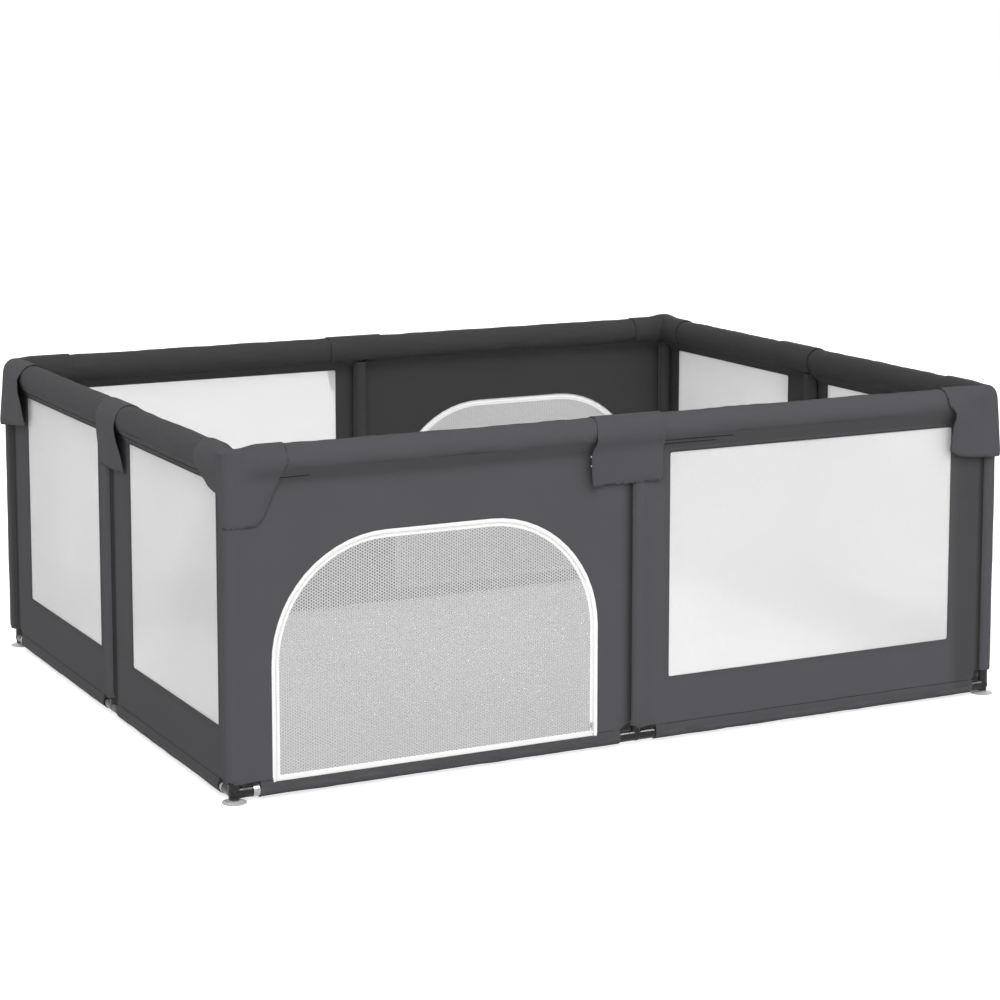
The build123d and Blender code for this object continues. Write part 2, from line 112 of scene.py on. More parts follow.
def to_row(points, side):
    """Points of a side's own frame (along, into the pen, up) in the row frame."""
    points = np.asarray(points, float)
    turn = SIDES[side] * pi / 2
    c, s = round(cos(turn)), round(sin(turn))
    x, y = FIRST_CORNER[side]
    out = points.copy()
    out[..., 0] = c * points[..., 0] - s * points[..., 1] + x
    out[..., 1] = s * points[..., 0] + c * points[..., 1] + y
    return out


# ---------------------------------------------------------------- sizes and colours
def length(name, text, value):
    return FloatProperty(name=name, description=text, default=value, unit="LENGTH", min=0.0)


def colour(name, text, value):
    return FloatVectorProperty(
        name=name, description=text, default=value, subtype="COLOR", size=3, min=0.0, max=1.0
    )


class PlaypenSizes(bpy.types.PropertyGroup):
    """Sizes of the soft parts and of the details."""

    rail_radius: length("Padded rail", "Radius of the cover round a top rail's foam", 0.0302)
    hem_radius: length("Hem", "Radius of the cover round a bottom rail", 0.0143)
    sleeve_radius: length("Sleeve", "Radius of the cover round a post", 0.0168)
    panel_face: length("Panel face", "Outer face of the panels, outside the posts' axes", 0.0100)
    panel_wall: length("Panel thickness", "Thickness of a lined panel", 0.0030)
    stitch: length("Stitch", "Length of one stitch", 0.0030)
    stitch_gap: length("Stitch spacing", "From one stitch to the next", 0.0042)
    thread: length("Thread", "Thickness of the sewing thread", 0.0007)
    tooth_gap: length("Zip pitch", "From one zip tooth to the next", 0.0021)
    fold_depth: length("Folds", "Depth of the soft folds in the cover", 0.0012)


class PlaypenColours(bpy.types.PropertyGroup):
    """Colours of the finishes."""

    cloth: colour("Cloth", "Outside of the cover", (0.098, 0.096, 0.106))
    # painted shade: the faces turned into the pen get this darker colour of the cloth, for the shade
    # inside the pen; the cover's other painted shade blends towards it
    inner_face: colour("Inner Shade", "Inside of the cover", (0.056, 0.056, 0.057))
    # painted shadow: a near-black colour for the cords laid in the folds under the rails and above the
    # hems, and for the painted shadow in the grooves beside the posts, on the gussets and under the
    # caps' edges
    seam: colour("Crease Shadows", "Cords and creases along the seams", (0.012, 0.010, 0.011))
    tape: colour("Tape", "Zip tape and door band", (0.96, 0.96, 0.95))
    window: colour("Window netting", "Fine netting of the windows", (0.88, 0.88, 0.88))
    door: colour("Door netting", "Coarser netting of the doors", (0.59, 0.59, 0.59))
    plastic: colour("Connectors", "Black plastic connectors", (0.007, 0.007, 0.008))
    steel: colour("Tube", "Zinc-plated steel tube", (0.36, 0.37, 0.38))
    cup: colour("Suction cup", "Clear soft plastic", (0.62, 0.66, 0.66))


# ---------------------------------------------------------------- soft noise for folds
def lattice(u, v, seed):
    """Smooth random values from -1 to 1, the same ones each time."""
    table = np.random.default_rng(seed).random((97, 97)) * 2 - 1
    u, v = np.broadcast_arrays(np.asarray(u, float), np.asarray(v, float))
    iu, iv = np.floor(u).astype(int), np.floor(v).astype(int)
    fu, fv = u - iu, v - iv
    fu, fv = fu * fu * (3 - 2 * fu), fv * fv * (3 - 2 * fv)
    a, b = table[iu % 97, iv % 97], table[(iu + 1) % 97, iv % 97]
    c, d = table[iu % 97, (iv + 1) % 97], table[(iu + 1) % 97, (iv + 1) % 97]
    return (a * (1 - fu) + b * fu) * (1 - fv) + (c * (1 - fu) + d * fu) * fv


def ease(low, high, x):
    t = np.clip((np.asarray(x, float) - low) / (high - low), 0, 1)
    return t * t * (3 - 2 * t)


# ---------------------------------------------------------------- mesh building
def new_object(name, data):
    """An object in the scene, from its mesh, light or camera."""
    obj = bpy.data.objects.new(name, data)
    bpy.context.scene.collection.objects.link(obj)
    return obj


class Cloth:
    """Collects grids of points and turns them into one closed, welded mesh."""

    def __init__(self):
        self.points, self.faces, self.uvs, self.inside = [], [], [], []
        self.count = 0

    def grid(self, points, uv, inside=0.0):
        """A sheet of quads, with a painted shade at each point: 0 on the cloth's plain face, up to 1
        towards the darker inner colour and up to 2 towards the near-black crease shadow.
        """
        points = np.asarray(points, float)
        n, m = points.shape[:2]
        uv = np.broadcast_to(np.asarray(uv, float), (n, m, 2))
        inside = np.broadcast_to(np.asarray(inside, float), (n, m))
        i, j = np.meshgrid(np.arange(n - 1), np.arange(m - 1), indexing="ij")
        a = (i * m + j).ravel()
        quads = np.stack([a, a + m, a + m + 1, a + 1], axis=1)
        self.points.append(points.reshape(-1, 3))
        self.faces.append(quads + self.count)
        self.uvs.append(uv.reshape(-1, 2)[quads].reshape(-1, 2))
        self.inside.append(inside.ravel())
        self.count += n * m

    # the rims are painted 0.3 of the way to the darker inner colour, as shade along the cut edges
    def shell(self, outer, inner, uv, inside=(0.0, 1.0), rims="ij", rim=0.3):
        """A wall between two grids of points, closed along the rims that are named."""
        self.grid(outer, uv, inside[0])
        self.grid(inner, uv, inside[1])
        uv = np.broadcast_to(np.asarray(uv, float), (*np.shape(outer)[:2], 2))
        for axis, name in ((0, "i"), (1, "j")):
            if name in rims:
                for end in (0, -1):
                    pick = lambda g: np.take(g, end, axis=axis)
                    self.grid(np.stack([pick(outer), pick(inner)]), np.stack([pick(uv)] * 2), rim)

    def build(self, name, finish, sharp=50.0):
        mesh = bpy.data.meshes.new(name)
        faces = np.concatenate(self.faces)
        mesh.from_pydata(np.concatenate(self.points).tolist(), [], faces.tolist())
        layer = mesh.uv_layers.new(name="Cloth")
        layer.data.foreach_set("uv", np.concatenate(self.uvs).ravel())
        # each point's painted shade, which the cloth's material turns into darker colour
        attribute = mesh.attributes.new("inside", "FLOAT", "POINT")
        attribute.data.foreach_set("value", np.concatenate(self.inside))
        mesh.materials.append(finish)
        shape = bmesh.new()
        shape.from_mesh(mesh)
        bmesh.ops.remove_doubles(shape, verts=shape.verts, dist=2e-6)
        bmesh.ops.dissolve_degenerate(shape, edges=shape.edges, dist=1e-6)
        bmesh.ops.recalc_face_normals(shape, faces=shape.faces)
        shape.to_mesh(mesh)
        shape.free()
        mesh.shade_smooth()
        mesh.set_sharp_from_angle(angle=radians(sharp))
        return new_object(name, mesh)


def tube_along_x(cloth, x, radius, z, side, thin=None, inside=None, depth=0.0, seed=1, turns=48):
    """A round of cloth along a rail. With thin it is a wall of that thickness, else it is solid."""
    around = np.linspace(0, 2 * pi, turns + 1)
    xx, tt = np.meshgrid(x, around, indexing="ij")
    wave = depth * lattice(xx / 0.045, 6 + 3 * np.cos(tt), seed)
    wave += 0.5 * depth * lattice(xx / 0.016, 6 + 5 * np.sin(tt), seed + 1)
    wave[:, -1] = wave[:, 0]  # the round closes
    rr = radius + wave
    ring = lambda r: to_row(np.stack([xx, r * np.cos(tt), z + r * np.sin(tt)], axis=-1), side)
    uv = np.stack([xx, tt * radius], axis=-1)
    # painted shade: the half of the round turned into the pen, and the end discs of a solid round, take
    # the darker inner colour
    inner_side = ease(-0.4, 0.5, np.cos(tt)) if inside is None else inside
    if thin:
        cloth.shell(ring(rr), ring(rr * 0 + radius - thin), uv, (inner_side, 1.0), rims="i")
    else:
        cloth.grid(ring(rr), uv, inner_side)
        for end in (0, -1):
            disc = np.stack([ring(rr)[end], ring(rr * 0)[end]])
            cloth.grid(disc, np.stack([uv[end]] * 2), 1.0)


def rays(outline, centre, angles):
    """Where rays from a centre meet a closed outline that is seen whole from it."""
    a = np.asarray(outline, float) - centre
    b = np.roll(a, -1, axis=0)
    d = np.stack([np.cos(angles), np.sin(angles)], axis=1)[:, None, :]
    e = (b - a)[None]
    cross = d[..., 0] * e[..., 1] - d[..., 1] * e[..., 0]
    cross = np.where(np.abs(cross) < 1e-15, 1e-15, cross)
    t = (a[None, :, 0] * e[..., 1] - a[None, :, 1] * e[..., 0]) / cross
    s = (a[None, :, 0] * d[..., 1] - a[None, :, 1] * d[..., 0]) / cross
    t = np.where((s > -1e-6) & (s < 1 + 1e-6) & (t > 0), t, -1)
    return centre + t.max(axis=1)[:, None] * d[:, 0]


def ring_points(inner, outer, centre, step=0.012, rows=26):
    """A ring of points from an inner outline to an outer one: (around, across, x and z)."""
    angles = []
    for outline in (inner, outer):
        away = np.asarray(outline, float) - centre
        angles.extend(np.arctan2(away[:, 1], away[:, 0]))
        closed = np.concatenate([outline, outline[:1]])
        for a, b in zip(closed[:-1], closed[1:]):
            parts = max(1, int(np.linalg.norm(np.subtract(b, a)) / step))
            for k in range(1, parts):
                p = np.add(a, np.subtract(b, a) * k / parts) - centre
                angles.append(np.arctan2(p[1], p[0]))
    angles = np.unique(np.round(np.sort(angles), 7))
    keep = np.concatenate([[True], np.diff(angles) > 2e-4])
    angles = angles[keep]
    angles = np.append(angles, angles[0] + 2 * pi)
    near, far = rays(inner, centre, angles), rays(outer, centre, angles)
    t = 0.5 - 0.5 * np.cos(pi * np.linspace(0, 1, rows))
    t = t[None, :, None]
    grid = near[:, None] * (1 - t) + far[:, None] * t
    grid[-1] = grid[0]
    return grid


def rounded(x0, x1, z0, z1, radius, parts=6):
    """A rectangle with rounded corners, anticlockwise."""
    out = []
    for cx, cz, turn in (
        (x1 - radius, z0 + radius, -90),
        (x1 - radius, z1 - radius, 0),
        (x0 + radius, z1 - radius, 90),
        (x0 + radius, z0 + radius, 180),
    ):
        for k in range(parts + 1):
            a = radians(turn + 90 * k / parts)
            out.append((cx + radius * cos(a), cz + radius * sin(a)))
    return np.array(out)


# the doorway, in its side's frame
SEWN = 0.0002
DOOR_LEFT, DOOR_RIGHT = TAPE_LOW[0] + HALF_X - SEWN, TAPE_HIGH[0] + HALF_X + SEWN
DOOR_HEAD, DOOR_ARCH = TAPE_HIGH[2] + SEWN, 0.235
TAPE_WIDTH, ZIP_GAP, BAND = 0.007, 0.0006, 0.010
DOOR_FOOT, HINGE_Z = BORDER_LOW[2], BORDER_LOW[2] + 0.001
PANEL_MID = -(BORDER_LOW[1] + BORDER_HIGH[1]) / 2 - HALF_Y


def doorway(inset, low=DOOR_FOOT, parts=14):
    """The arched outline moved inwards, from a height on the right over the arch to the left."""
    left, right, head = DOOR_LEFT + inset, DOOR_RIGHT - inset, DOOR_HEAD - inset
    radius = DOOR_ARCH - inset
    out = []
    for cx, start in ((right - radius, 0), (left + radius, 90)):
        for k in range(parts + 1):
            a = radians(start + 90 * k / parts)
            out.append((cx + radius * cos(a), head - radius + radius * sin(a)))
    return np.array([(right, low), *out, (left, low)])


# ---------------------------------------------------------------- bays of the cover
# where a hem starts or ends, from the axis of a corner post or of a middle post
HEM_CORNER, HEM_CORNER_WINDOW, HEM_TEE = 0.0485, 0.0355, 0.0413
# where the rail padding starts and ends, from the middle posts and from the corners of each side
WRAP_TEE = 0.001
WRAP_CORNERS = {
    "front": (0.044, 0.068),
    "right": (0.068, 0.044),
    "back": (0.044, 0.036),
    "left": (0.036, 0.044),
}
PANEL_TOP = TOP_Z - 0.0155
SLEEVE_LOW, SKIRT_FLARE = LOW_Z + 0.018, 0.016
# where a long window panel meets its corner post: how much higher it ends, and how wide its slit is
SLEEVE_LIFTS, SLEEVE_SLIT = {"front": 0.017, "back": 0.004}, 0.0300
SLACK_SLEEVE = 0.009  # how far the back left sleeve stands off its post
GROOVE, WIDE_GROOVES = 0.016, {"left_front": 0.034}  # dark width beside a post, from its axis


class Bay:
    """One bay of the cover, from one post's axis to the next, in its side's frame."""

    def __init__(self, name, side, second, window=None):
        self.name, self.side, self.second, self.window = name, side, second, window
        self.length = LONG if side in ("front", "back") else SHORT
        self.start = self.length if second else 0.0
        self.end = self.start + self.length
        # the cover runs smoothly off the post at one end and tucks into a groove at the other
        self.smooth_start = side in ("front", "back")
        self.node = "cover_" + name
        self.seed = 11 * (SIDES[side] * 2 + int(second)) + 5
        self.lift = SLEEVE_LIFTS[side] if second and self.smooth_start else 0.0
        tee, corner = HEM_TEE, HEM_CORNER_WINDOW if self.lift else HEM_CORNER
        self.hem = (
            self.start + (tee if second else corner),
            self.end - (corner if second else tee),
        )
        self.wrap = (
            self.start + (WRAP_TEE if second else WRAP_CORNERS[side][0]),
            self.end - (WRAP_CORNERS[side][1] if second else WRAP_TEE),
        )

    def posts(self):
        """(axis, whether the cover runs smoothly off it) at the start and the end."""
        return (self.start, self.smooth_start), (self.end, not self.smooth_start)

    def inward(self, axis):
        """Which way the bay lies from a post's axis: 1 at its start, -1 at its end."""
        return 1 if axis == self.start else -1

    def from_opening(self, x, z):
        """Distance from the window or the doorway, measured as from a rounded rectangle."""
        x0, x1, z0, z1 = self.window or (DOOR_LEFT, DOOR_RIGHT, -DOOR_HEAD, DOOR_HEAD)
        radius = WINDOW_CORNER if self.window else DOOR_ARCH
        across = np.abs(x - (x0 + x1) / 2) - (x1 - x0) / 2 + radius
        up = np.abs(z - (z0 + z1) / 2) - (z1 - z0) / 2 + radius
        outside = np.hypot(np.maximum(across, 0), np.maximum(up, 0))
        return outside + np.minimum(np.maximum(across, up), 0) - radius

    def shade(self, x, z):
        """How much painted shade the cloth gets: painted shadow under the rail pad and in the groove
        beside a post, painted shade on the hem, beside the last post and over the left side, and a thin
        dark line above a window's head.
        """
        # painted shadow under the rail pad, and painted shade on the hem
        under = 0.34 * ease(0.062, 0.030, TOP_Z - z)
        hem = 0.26 * ease(0.019, 0.014, z - LOW_Z)
        # a thin dark line is painted just above a window's head
        if self.window:
            edge_gap = (self.from_opening(x, z) - 0.0015) / 0.0022
            above = (z > self.window[3] - 0.001) * np.exp(-(edge_gap**2))
            under = np.maximum(under, 1.1 * above)
        # painted shade: the narrow strip beside the last post is darkened as if it turned away from the
        # light
        under = np.maximum(under, 0.62 * (self.lift > 0) * ease(0.105, 0.070, self.end - x))
        # painted shade: the whole left side is darkened
        under = np.maximum(under, 0.25 * (self.side == "left"))
        # painted shadow in the groove where the cloth tucks in beside a post
        groove = 0 * x
        for axis, runs_off in self.posts():
            if not runs_off:
                past = self.inward(axis) * (x - axis) - WIDE_GROOVES.get(self.name, GROOVE)
                groove = np.maximum(groove, 1.7 * np.exp(-((np.maximum(past, 0) / 0.013) ** 2)))
        return np.maximum(np.maximum(under, hem), groove)

    def face(self, x, z, sizes):
        """How far the outer face stands out from the posts' axes."""
        x, z = np.broadcast_arrays(np.asarray(x, float), np.asarray(z, float))
        out = np.full(x.shape, sizes.panel_face)
        fade = ease(0.0, 0.05, x - self.start) * ease(0.0, 0.05, self.end - x)
        fade = fade * ease(0.004, 0.040, self.from_opening(x, z))
        low = ease(0.10, 0.20, z)
        out += sizes.fold_depth * fade * (0.4 + 0.6 * low) * lattice(x / 0.16, z / 0.21, self.seed)
        pull = ease(0.10, 0.0, TOP_Z - 0.03 - z)
        out += 0.6 * sizes.fold_depth * fade * pull * lattice(x / 0.035, z / 0.2, self.seed + 1)
        # beside a post the cloth swells onto the sleeve, or dips into a groove
        radius = sizes.sleeve_radius
        for axis, runs_off in self.posts():
            away = self.inward(axis) * (x - axis)
            if runs_off:
                bulge = (radius - sizes.panel_face) * np.exp(-((np.maximum(away, 0) / 0.024) ** 2))
                over = np.sqrt(np.maximum(radius**2 - np.minimum(away, 0) ** 2, 0)) - 0.0003
                out = np.where(away > 0.002, out + bulge, over)
            else:
                out -= 0.0070 * np.exp(-(((away - radius) / 0.010) ** 2))
        # the cloth comes off the rail's padding at a slant, except at a corner, where it has none
        above = 0.0435 - (TOP_Z - z)
        slant = np.minimum(0.29 * (above + np.sqrt(above**2 + 0.003**2)), 0.0163)
        first, last = x - self.start, self.end - x
        slant = slant * ease(0.015, 0.075, last if self.second else first)
        near_post = ease(0.14, 0.11, np.minimum(first, last)) * ease(0.055, 0.040, TOP_Z - z)
        out = np.maximum(out, sizes.panel_face + slant) - 0.0012 * near_post
        hem = sizes.hem_radius
        rise = np.maximum(z - LOW_Z, 0)
        on_hem = (x > self.hem[0] - 0.001) & (x < self.hem[1] + 0.001)
        swell = (hem - sizes.panel_face) * np.exp(-((rise / 0.015) ** 2))
        under = np.sqrt(np.maximum(hem**2 - np.minimum(z - LOW_Z, 0) ** 2, 0)) - 0.0003
        return np.where(on_hem & (z < LOW_Z + 0.001), under, np.where(on_hem, out + swell, out))

    def outline(self):
        """The panel's outer outline, from the foot of its first post round its hem."""
        low, flare = SLEEVE_LOW, SLEEVE_LOW + SKIRT_FLARE
        ends = []
        for axis, runs_off in self.posts():
            sign = self.inward(axis)
            ends.append((axis - sign * 0.006, low) if runs_off else (axis + sign * 0.0150, flare))
        (a, a_low), (b, b_low) = ends
        foot, slit = [(self.hem[1], low)], self.end - SLEEVE_SLIT
        if self.lift:
            foot, b_low = foot + [(slit, low + 0.003), (slit, low + self.lift)], low + self.lift
        return np.array(
            [
                (a, a_low),
                (self.hem[0], low),
                (self.hem[0], LOW_Z - 0.004),
                (self.hem[1], LOW_Z - 0.004),
                *foot,
                (b, b_low),
                (b, PANEL_TOP),
                (a, PANEL_TOP),
            ]
        )

    def opening(self):
        if self.window:
            return rounded(*self.window, WINDOW_CORNER)
        return doorway(0.0, LOW_Z + 0.0115)


WINDOW_CORNER = 0.004
NET_LAP, NET_HALF = 0.004, 0.0004  # how far netting goes under its panel, and half its thickness
# on the short sides, from the middle post to the window before it and to the window after it
MIDDLE_MARGINS = {"right": (0.061, 0.107), "left": (0.058, 0.141)}
# how much higher a side's windows begin and end than the netting's box
WINDOW_SHIFTS = {"left": (0.009, 0.008), "front": (0.005, 0.0)}


def window_of(side, second):
    """A window's (x0, x1, z0, z1) in its side's frame, from the netting node's box."""
    node = "window_netting_" + side
    low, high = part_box(node)
    start, end = along_side(node, side)
    start, end = start - SEWN, end + SEWN
    if side in MIDDLE_MARGINS:
        before, after = MIDDLE_MARGINS[side]
        start, end = (SHORT + after, end) if second else (start, SHORT - before)
    foot, head = WINDOW_SHIFTS.get(side, (0.0, 0.0))
    return (start, end, low[2] - SEWN + foot, high[2] + SEWN + head)


BAYS = [
    Bay("front_door", "front", False),
    Bay("front_window", "front", True, window_of("front", True)),
    Bay("right_front", "right", False, window_of("right", False)),
    Bay("right_rear", "right", True, window_of("right", True)),
    Bay("back_door", "back", False),
    Bay("back_window", "back", True, window_of("back", True)),
    Bay("left_rear", "left", False, window_of("left", False)),
    Bay("left_front", "left", True, window_of("left", True)),
]


def bays_on(side):
    return [bay for bay in BAYS if bay.side == side]


# whose panel each post's sleeve is sewn to
SLEEVES = {
    "front_door": ["start"],
    "front_window": ["start", "end"],
    "right_front": ["end"],
    "back_door": ["start"],
    "back_window": ["start", "end"],
    "left_rear": ["end"],
}


# ---------------------------------------------------------------- material building
NUMBER, VECTOR, TINT = "NodeSocketFloat", "NodeSocketVector", "NodeSocketColor"


class Nodes:
    """A short way to add nodes to a tree and join them."""

    def __init__(self, tree):
        self.tree = tree
        tree.nodes.clear()

    def add(self, kind, inputs=None, **settings):
        """A new node; each of its inputs is a value, or the output that it is linked to."""
        node = self.tree.nodes.new(kind)
        for key, value in settings.items():
            setattr(node, key, value)
        for key, value in (inputs or {}).items():
            socket = node.inputs[key]
            if isinstance(value, bpy.types.NodeSocket):
                self.tree.links.new(value, socket)
            else:
                socket.default_value = value
        return node

    def group(self, name, **inputs):
        return self.add("ShaderNodeGroup", inputs, node_tree=bpy.data.node_groups[name]).outputs

    def math(self, operation, a, b=0.0, c=None, clamp=False):
        inputs = {0: a, 1: b} if c is None else {0: a, 1: b, 2: c}
        return self.add("ShaderNodeMath", inputs, operation=operation, use_clamp=clamp).outputs[0]

    def vector(self, operation, *inputs):
        node = self.add("ShaderNodeVectorMath", dict(enumerate(inputs)), operation=operation)
        return node.outputs["Value" if operation == "LENGTH" else "Vector"]

    def scale(self, vector, factor):
        inputs = {0: vector, "Scale": factor}
        return self.add("ShaderNodeVectorMath", inputs, operation="SCALE").outputs[0]

    def mix(self, factor, a, b):
        return self.add("ShaderNodeMix", {0: factor, 6: a, 7: b}, data_type="RGBA").outputs[2]

    def noise(self, vector, scale, detail=2.0, rough=0.5):
        inputs = {"Vector": vector, "Scale": scale, "Detail": detail, "Roughness": rough}
        return self.add("ShaderNodeTexNoise", inputs).outputs[0]

    def ramp(self, value, low, high, out_low=0.0, out_high=1.0):
        inputs = {0: value, 1: low, 2: high, 3: out_low, 4: out_high}
        return self.add("ShaderNodeMapRange", inputs, interpolation_type="SMOOTHSTEP").outputs[0]

    def bump(self, height, strength, distance):
        inputs = {"Height": height, "Strength": strength, "Distance": distance}
        return self.add("ShaderNodeBump", inputs).outputs[0]


def shader_group(name, inputs, outputs):
    """An empty shader node group with named sockets, as (its Nodes, what it is given)."""
    tree = bpy.data.node_groups.new(name, "ShaderNodeTree")
    for label, kind, value in inputs:
        socket = tree.interface.new_socket(name=label, in_out="INPUT", socket_type=kind)
        if value is not None:
            socket.default_value = value
    for label, kind in outputs:
        tree.interface.new_socket(name=label, in_out="OUTPUT", socket_type=kind)
    n = Nodes(tree)
    return n, n.add("NodeGroupInput").outputs


def weave_group():
    """Plain weave on a cloth's own map: the height of the threads and a mask of the gaps, which are
    painted darker as shade.
    """
    n, given = shader_group(
        "Plain Weave",
        [("Vector", VECTOR, None), ("Thread", NUMBER, 0.0006), ("Slub", NUMBER, 0.3)],
        [("Height", NUMBER), ("Gap", NUMBER)],
    )
    split = n.add("ShaderNodeSeparateXYZ", {0: given["Vector"]}).outputs
    wave = n.math("DIVIDE", pi, given["Thread"])
    warp, weft = (n.math("SINE", n.math("MULTIPLY", split[axis], wave)) for axis in (0, 1))
    over = n.math("MULTIPLY", warp, weft)
    slub = n.noise(given["Vector"], 900.0, 1.0)
    height = n.math("MULTIPLY_ADD", n.math("SUBTRACT", slub, 0.5), given["Slub"], over)
    gap = n.ramp(n.math("ABSOLUTE", over), 0.05, 0.4, 1.0, 0.0)
    n.add("NodeGroupOutput", {"Height": height, "Gap": gap})


def heather_group():
    """Uneven dye and handling marks, in patches and in single threads."""
    n, given = shader_group(
        "Heather",
        [("Vector", VECTOR, None), ("Colour", TINT, (0.1, 0.1, 0.1, 1)), ("Amount", NUMBER, 0.1)],
        [("Colour", TINT), ("Patch", NUMBER)],
    )
    patch = n.noise(given["Vector"], 5.5, 3.0, 0.55)
    thread = n.noise(given["Vector"], 1400.0, 1.0, 0.5)
    both = n.math("ADD", n.math("MULTIPLY", patch, 1.2), n.math("MULTIPLY", thread, 0.8))
    swing = n.math("MULTIPLY", n.math("SUBTRACT", both, 1.0), given["Amount"])
    colour = n.scale(given["Colour"], n.math("ADD", swing, 1.0))
    n.add("NodeGroupOutput", {"Colour": colour, "Patch": patch})


def wear_group():
    """Scuffs and dust on hard parts, from their place alone."""
    n, given = shader_group(
        "Scuffs",
        [("Vector", VECTOR, None), ("Scale", NUMBER, 60.0), ("Amount", NUMBER, 0.3)],
        [("Mask", NUMBER), ("Height", NUMBER)],
    )
    coarse = n.noise(given["Vector"], given["Scale"], 4.0, 0.6)
    fine = n.noise(given["Vector"], n.math("MULTIPLY", given["Scale"], 9.0), 2.0)
    mask = n.ramp(n.math("MULTIPLY_ADD", fine, 0.4, n.math("MULTIPLY", coarse, 0.8)), 0.5, 0.8)
    n.add("NodeGroupOutput", {"Mask": n.math("MULTIPLY", mask, given["Amount"]), "Height": fine})


def holes_group():
    """Net of round holes in staggered rows on a piece's own map: 1 on the threads, 0 in the holes."""
    n, given = shader_group(
        "Net",
        [("Vector", VECTOR, None), ("Pitch", NUMBER, 0.0048), ("Hole", NUMBER, 0.35)],
        [("Thread", NUMBER), ("Height", NUMBER)],
    )
    scaled = n.scale(given["Vector"], n.math("DIVIDE", 1.0, given["Pitch"]))
    near = []
    for shift in (0.0, 0.5):
        moved = n.vector("ADD", scaled, (shift, shift * sqrt(3), 0))
        cell = n.vector("FRACTION", n.vector("DIVIDE", moved, (1, sqrt(3), 1)))
        centred = n.vector("SUBTRACT", cell, (0.5, 0.5, 0))
        near.append(n.vector("LENGTH", n.vector("MULTIPLY", centred, (1, sqrt(3), 0))))
    distance, hole = n.math("MINIMUM", *near), given["Hole"]
    thread = n.ramp(distance, n.math("SUBTRACT", hole, 0.05), n.math("ADD", hole, 0.05))
    n.add("NodeGroupOutput", {"Thread": thread, "Height": n.math("SUBTRACT", distance, hole)})


def start_material(name, mapped):
    """A new material, as (its Nodes, the coordinates its pattern follows)."""
    new = bpy.data.materials.new(name)
    new.use_nodes = True
    n = Nodes(new.node_tree)
    if mapped:
        return n, n.add("ShaderNodeUVMap", uv_map="Cloth").outputs[0]
    return n, n.add("ShaderNodeTexCoord").outputs["Object"]


def finish_material(n, **inputs):
    named = {key.replace("_", " "): value for key, value in inputs.items()}
    shader = n.add("ShaderNodeBsdfPrincipled", named)
    n.add("ShaderNodeOutputMaterial", {"Surface": shader.outputs[0]})


def rgba(c):
    return (*c, 1.0)


def cloth_material(name, outside, inside, crease, thread=0.0006, amount=0.16, bump=0.35):
    """Woven cloth with painted shade from the mesh's own value: 0 outside, 1 the darker inner colour, 2
    the near-black crease shadow.
    """
    n, where = start_material(name, mapped=True)
    weave = n.group("Plain Weave", Vector=where, Thread=thread)
    side = n.add("ShaderNodeAttribute", attribute_name="inside").outputs["Fac"]
    # painted shade: from the outside colour towards the darker inner colour, then on towards the crease
    # shadow
    faces = n.mix(side, rgba(outside), rgba(inside))
    base = n.mix(n.math("SUBTRACT", side, 1.0, clamp=True), faces, rgba(crease))
    dyed = n.group("Heather", Vector=where, Colour=base, Amount=amount)
    creases = n.noise(where, 26.0, 4.0, 0.6)
    height = n.math("MULTIPLY_ADD", creases, 3.0, weave["Height"])
    finish_material(
        n,
        # painted shade: the gaps between the threads are darkened
        Base_Color=n.mix(n.math("MULTIPLY", weave["Gap"], 0.35), dyed["Colour"], rgba((0.01,) * 3)),
        Roughness=n.ramp(dyed["Patch"], 0.3, 0.7, 0.82, 0.94),
        Normal=n.bump(height, bump, 0.00035),
        Specular_IOR_Level=0.1,
    )


def net_material(name, tint, pitch, hole, hole_shade, hole_cover, through):
    """Netting that light passes through: solid threads, and holes that show what is behind, half
    covered with a grey that is painted shade.
    """
    n, where = start_material(name, mapped=True)
    net = n.group("Net", Vector=where, Pitch=pitch, Hole=hole)
    dyed = n.group("Heather", Vector=where, Colour=rgba(tint), Amount=0.06)
    finish_material(
        n,
        # painted shade: the holes are half filled with a flat grey for the darker view through them
        Base_Color=n.mix(net["Thread"], rgba(hole_shade), dyed["Colour"]),
        Alpha=n.ramp(net["Thread"], 0.0, 1.0, hole_cover, 1.0),
        Roughness=0.9,
        Normal=n.bump(net["Height"], 0.3, 0.0003),
        Transmission_Weight=through,
        IOR=1.2,
        Specular_IOR_Level=0.2,
    )


def tape_material(name, tint, rib=0.0012):
    """Ribbed woven tape, painted a little darker in the troughs of its ribs as shade."""
    n, where = start_material(name, mapped=True)
    split = n.add("ShaderNodeSeparateXYZ", {0: where})
    ribs = n.math("SINE", n.math("MULTIPLY", split.outputs[0], 2 * pi / rib))
    dyed = n.group("Heather", Vector=where, Colour=rgba(tint), Amount=0.04)
    finish_material(
        n,
        # painted shade in the troughs between the ribs
        Base_Color=n.mix(n.ramp(ribs, -1.0, 0.2, 0.08, 0.0), dyed["Colour"], rgba((0.45,) * 3)),
        Roughness=0.8,
        Normal=n.bump(ribs, 0.35, 0.0002),
        Sheen_Weight=0.1,
    )


def plastic_material(name, tint, gloss=0.18, shine=0.28):
    """Moulded plastic or paint, with a faint orange peel and scuffs."""
    n, where = start_material(name, mapped=False)
    wear = n.group("Scuffs", Vector=where, Scale=45.0, Amount=0.22)
    finish_material(
        n,
        Base_Color=n.mix(wear["Mask"], rgba(tint), rgba([0.7 * v + 0.02 for v in tint])),
        Roughness=n.ramp(wear["Mask"], 0.0, 0.2, gloss, gloss + 0.22),
        Normal=n.bump(n.noise(where, 700.0, 2.0), 0.12, 0.0002),
        Specular_IOR_Level=shine,
    )


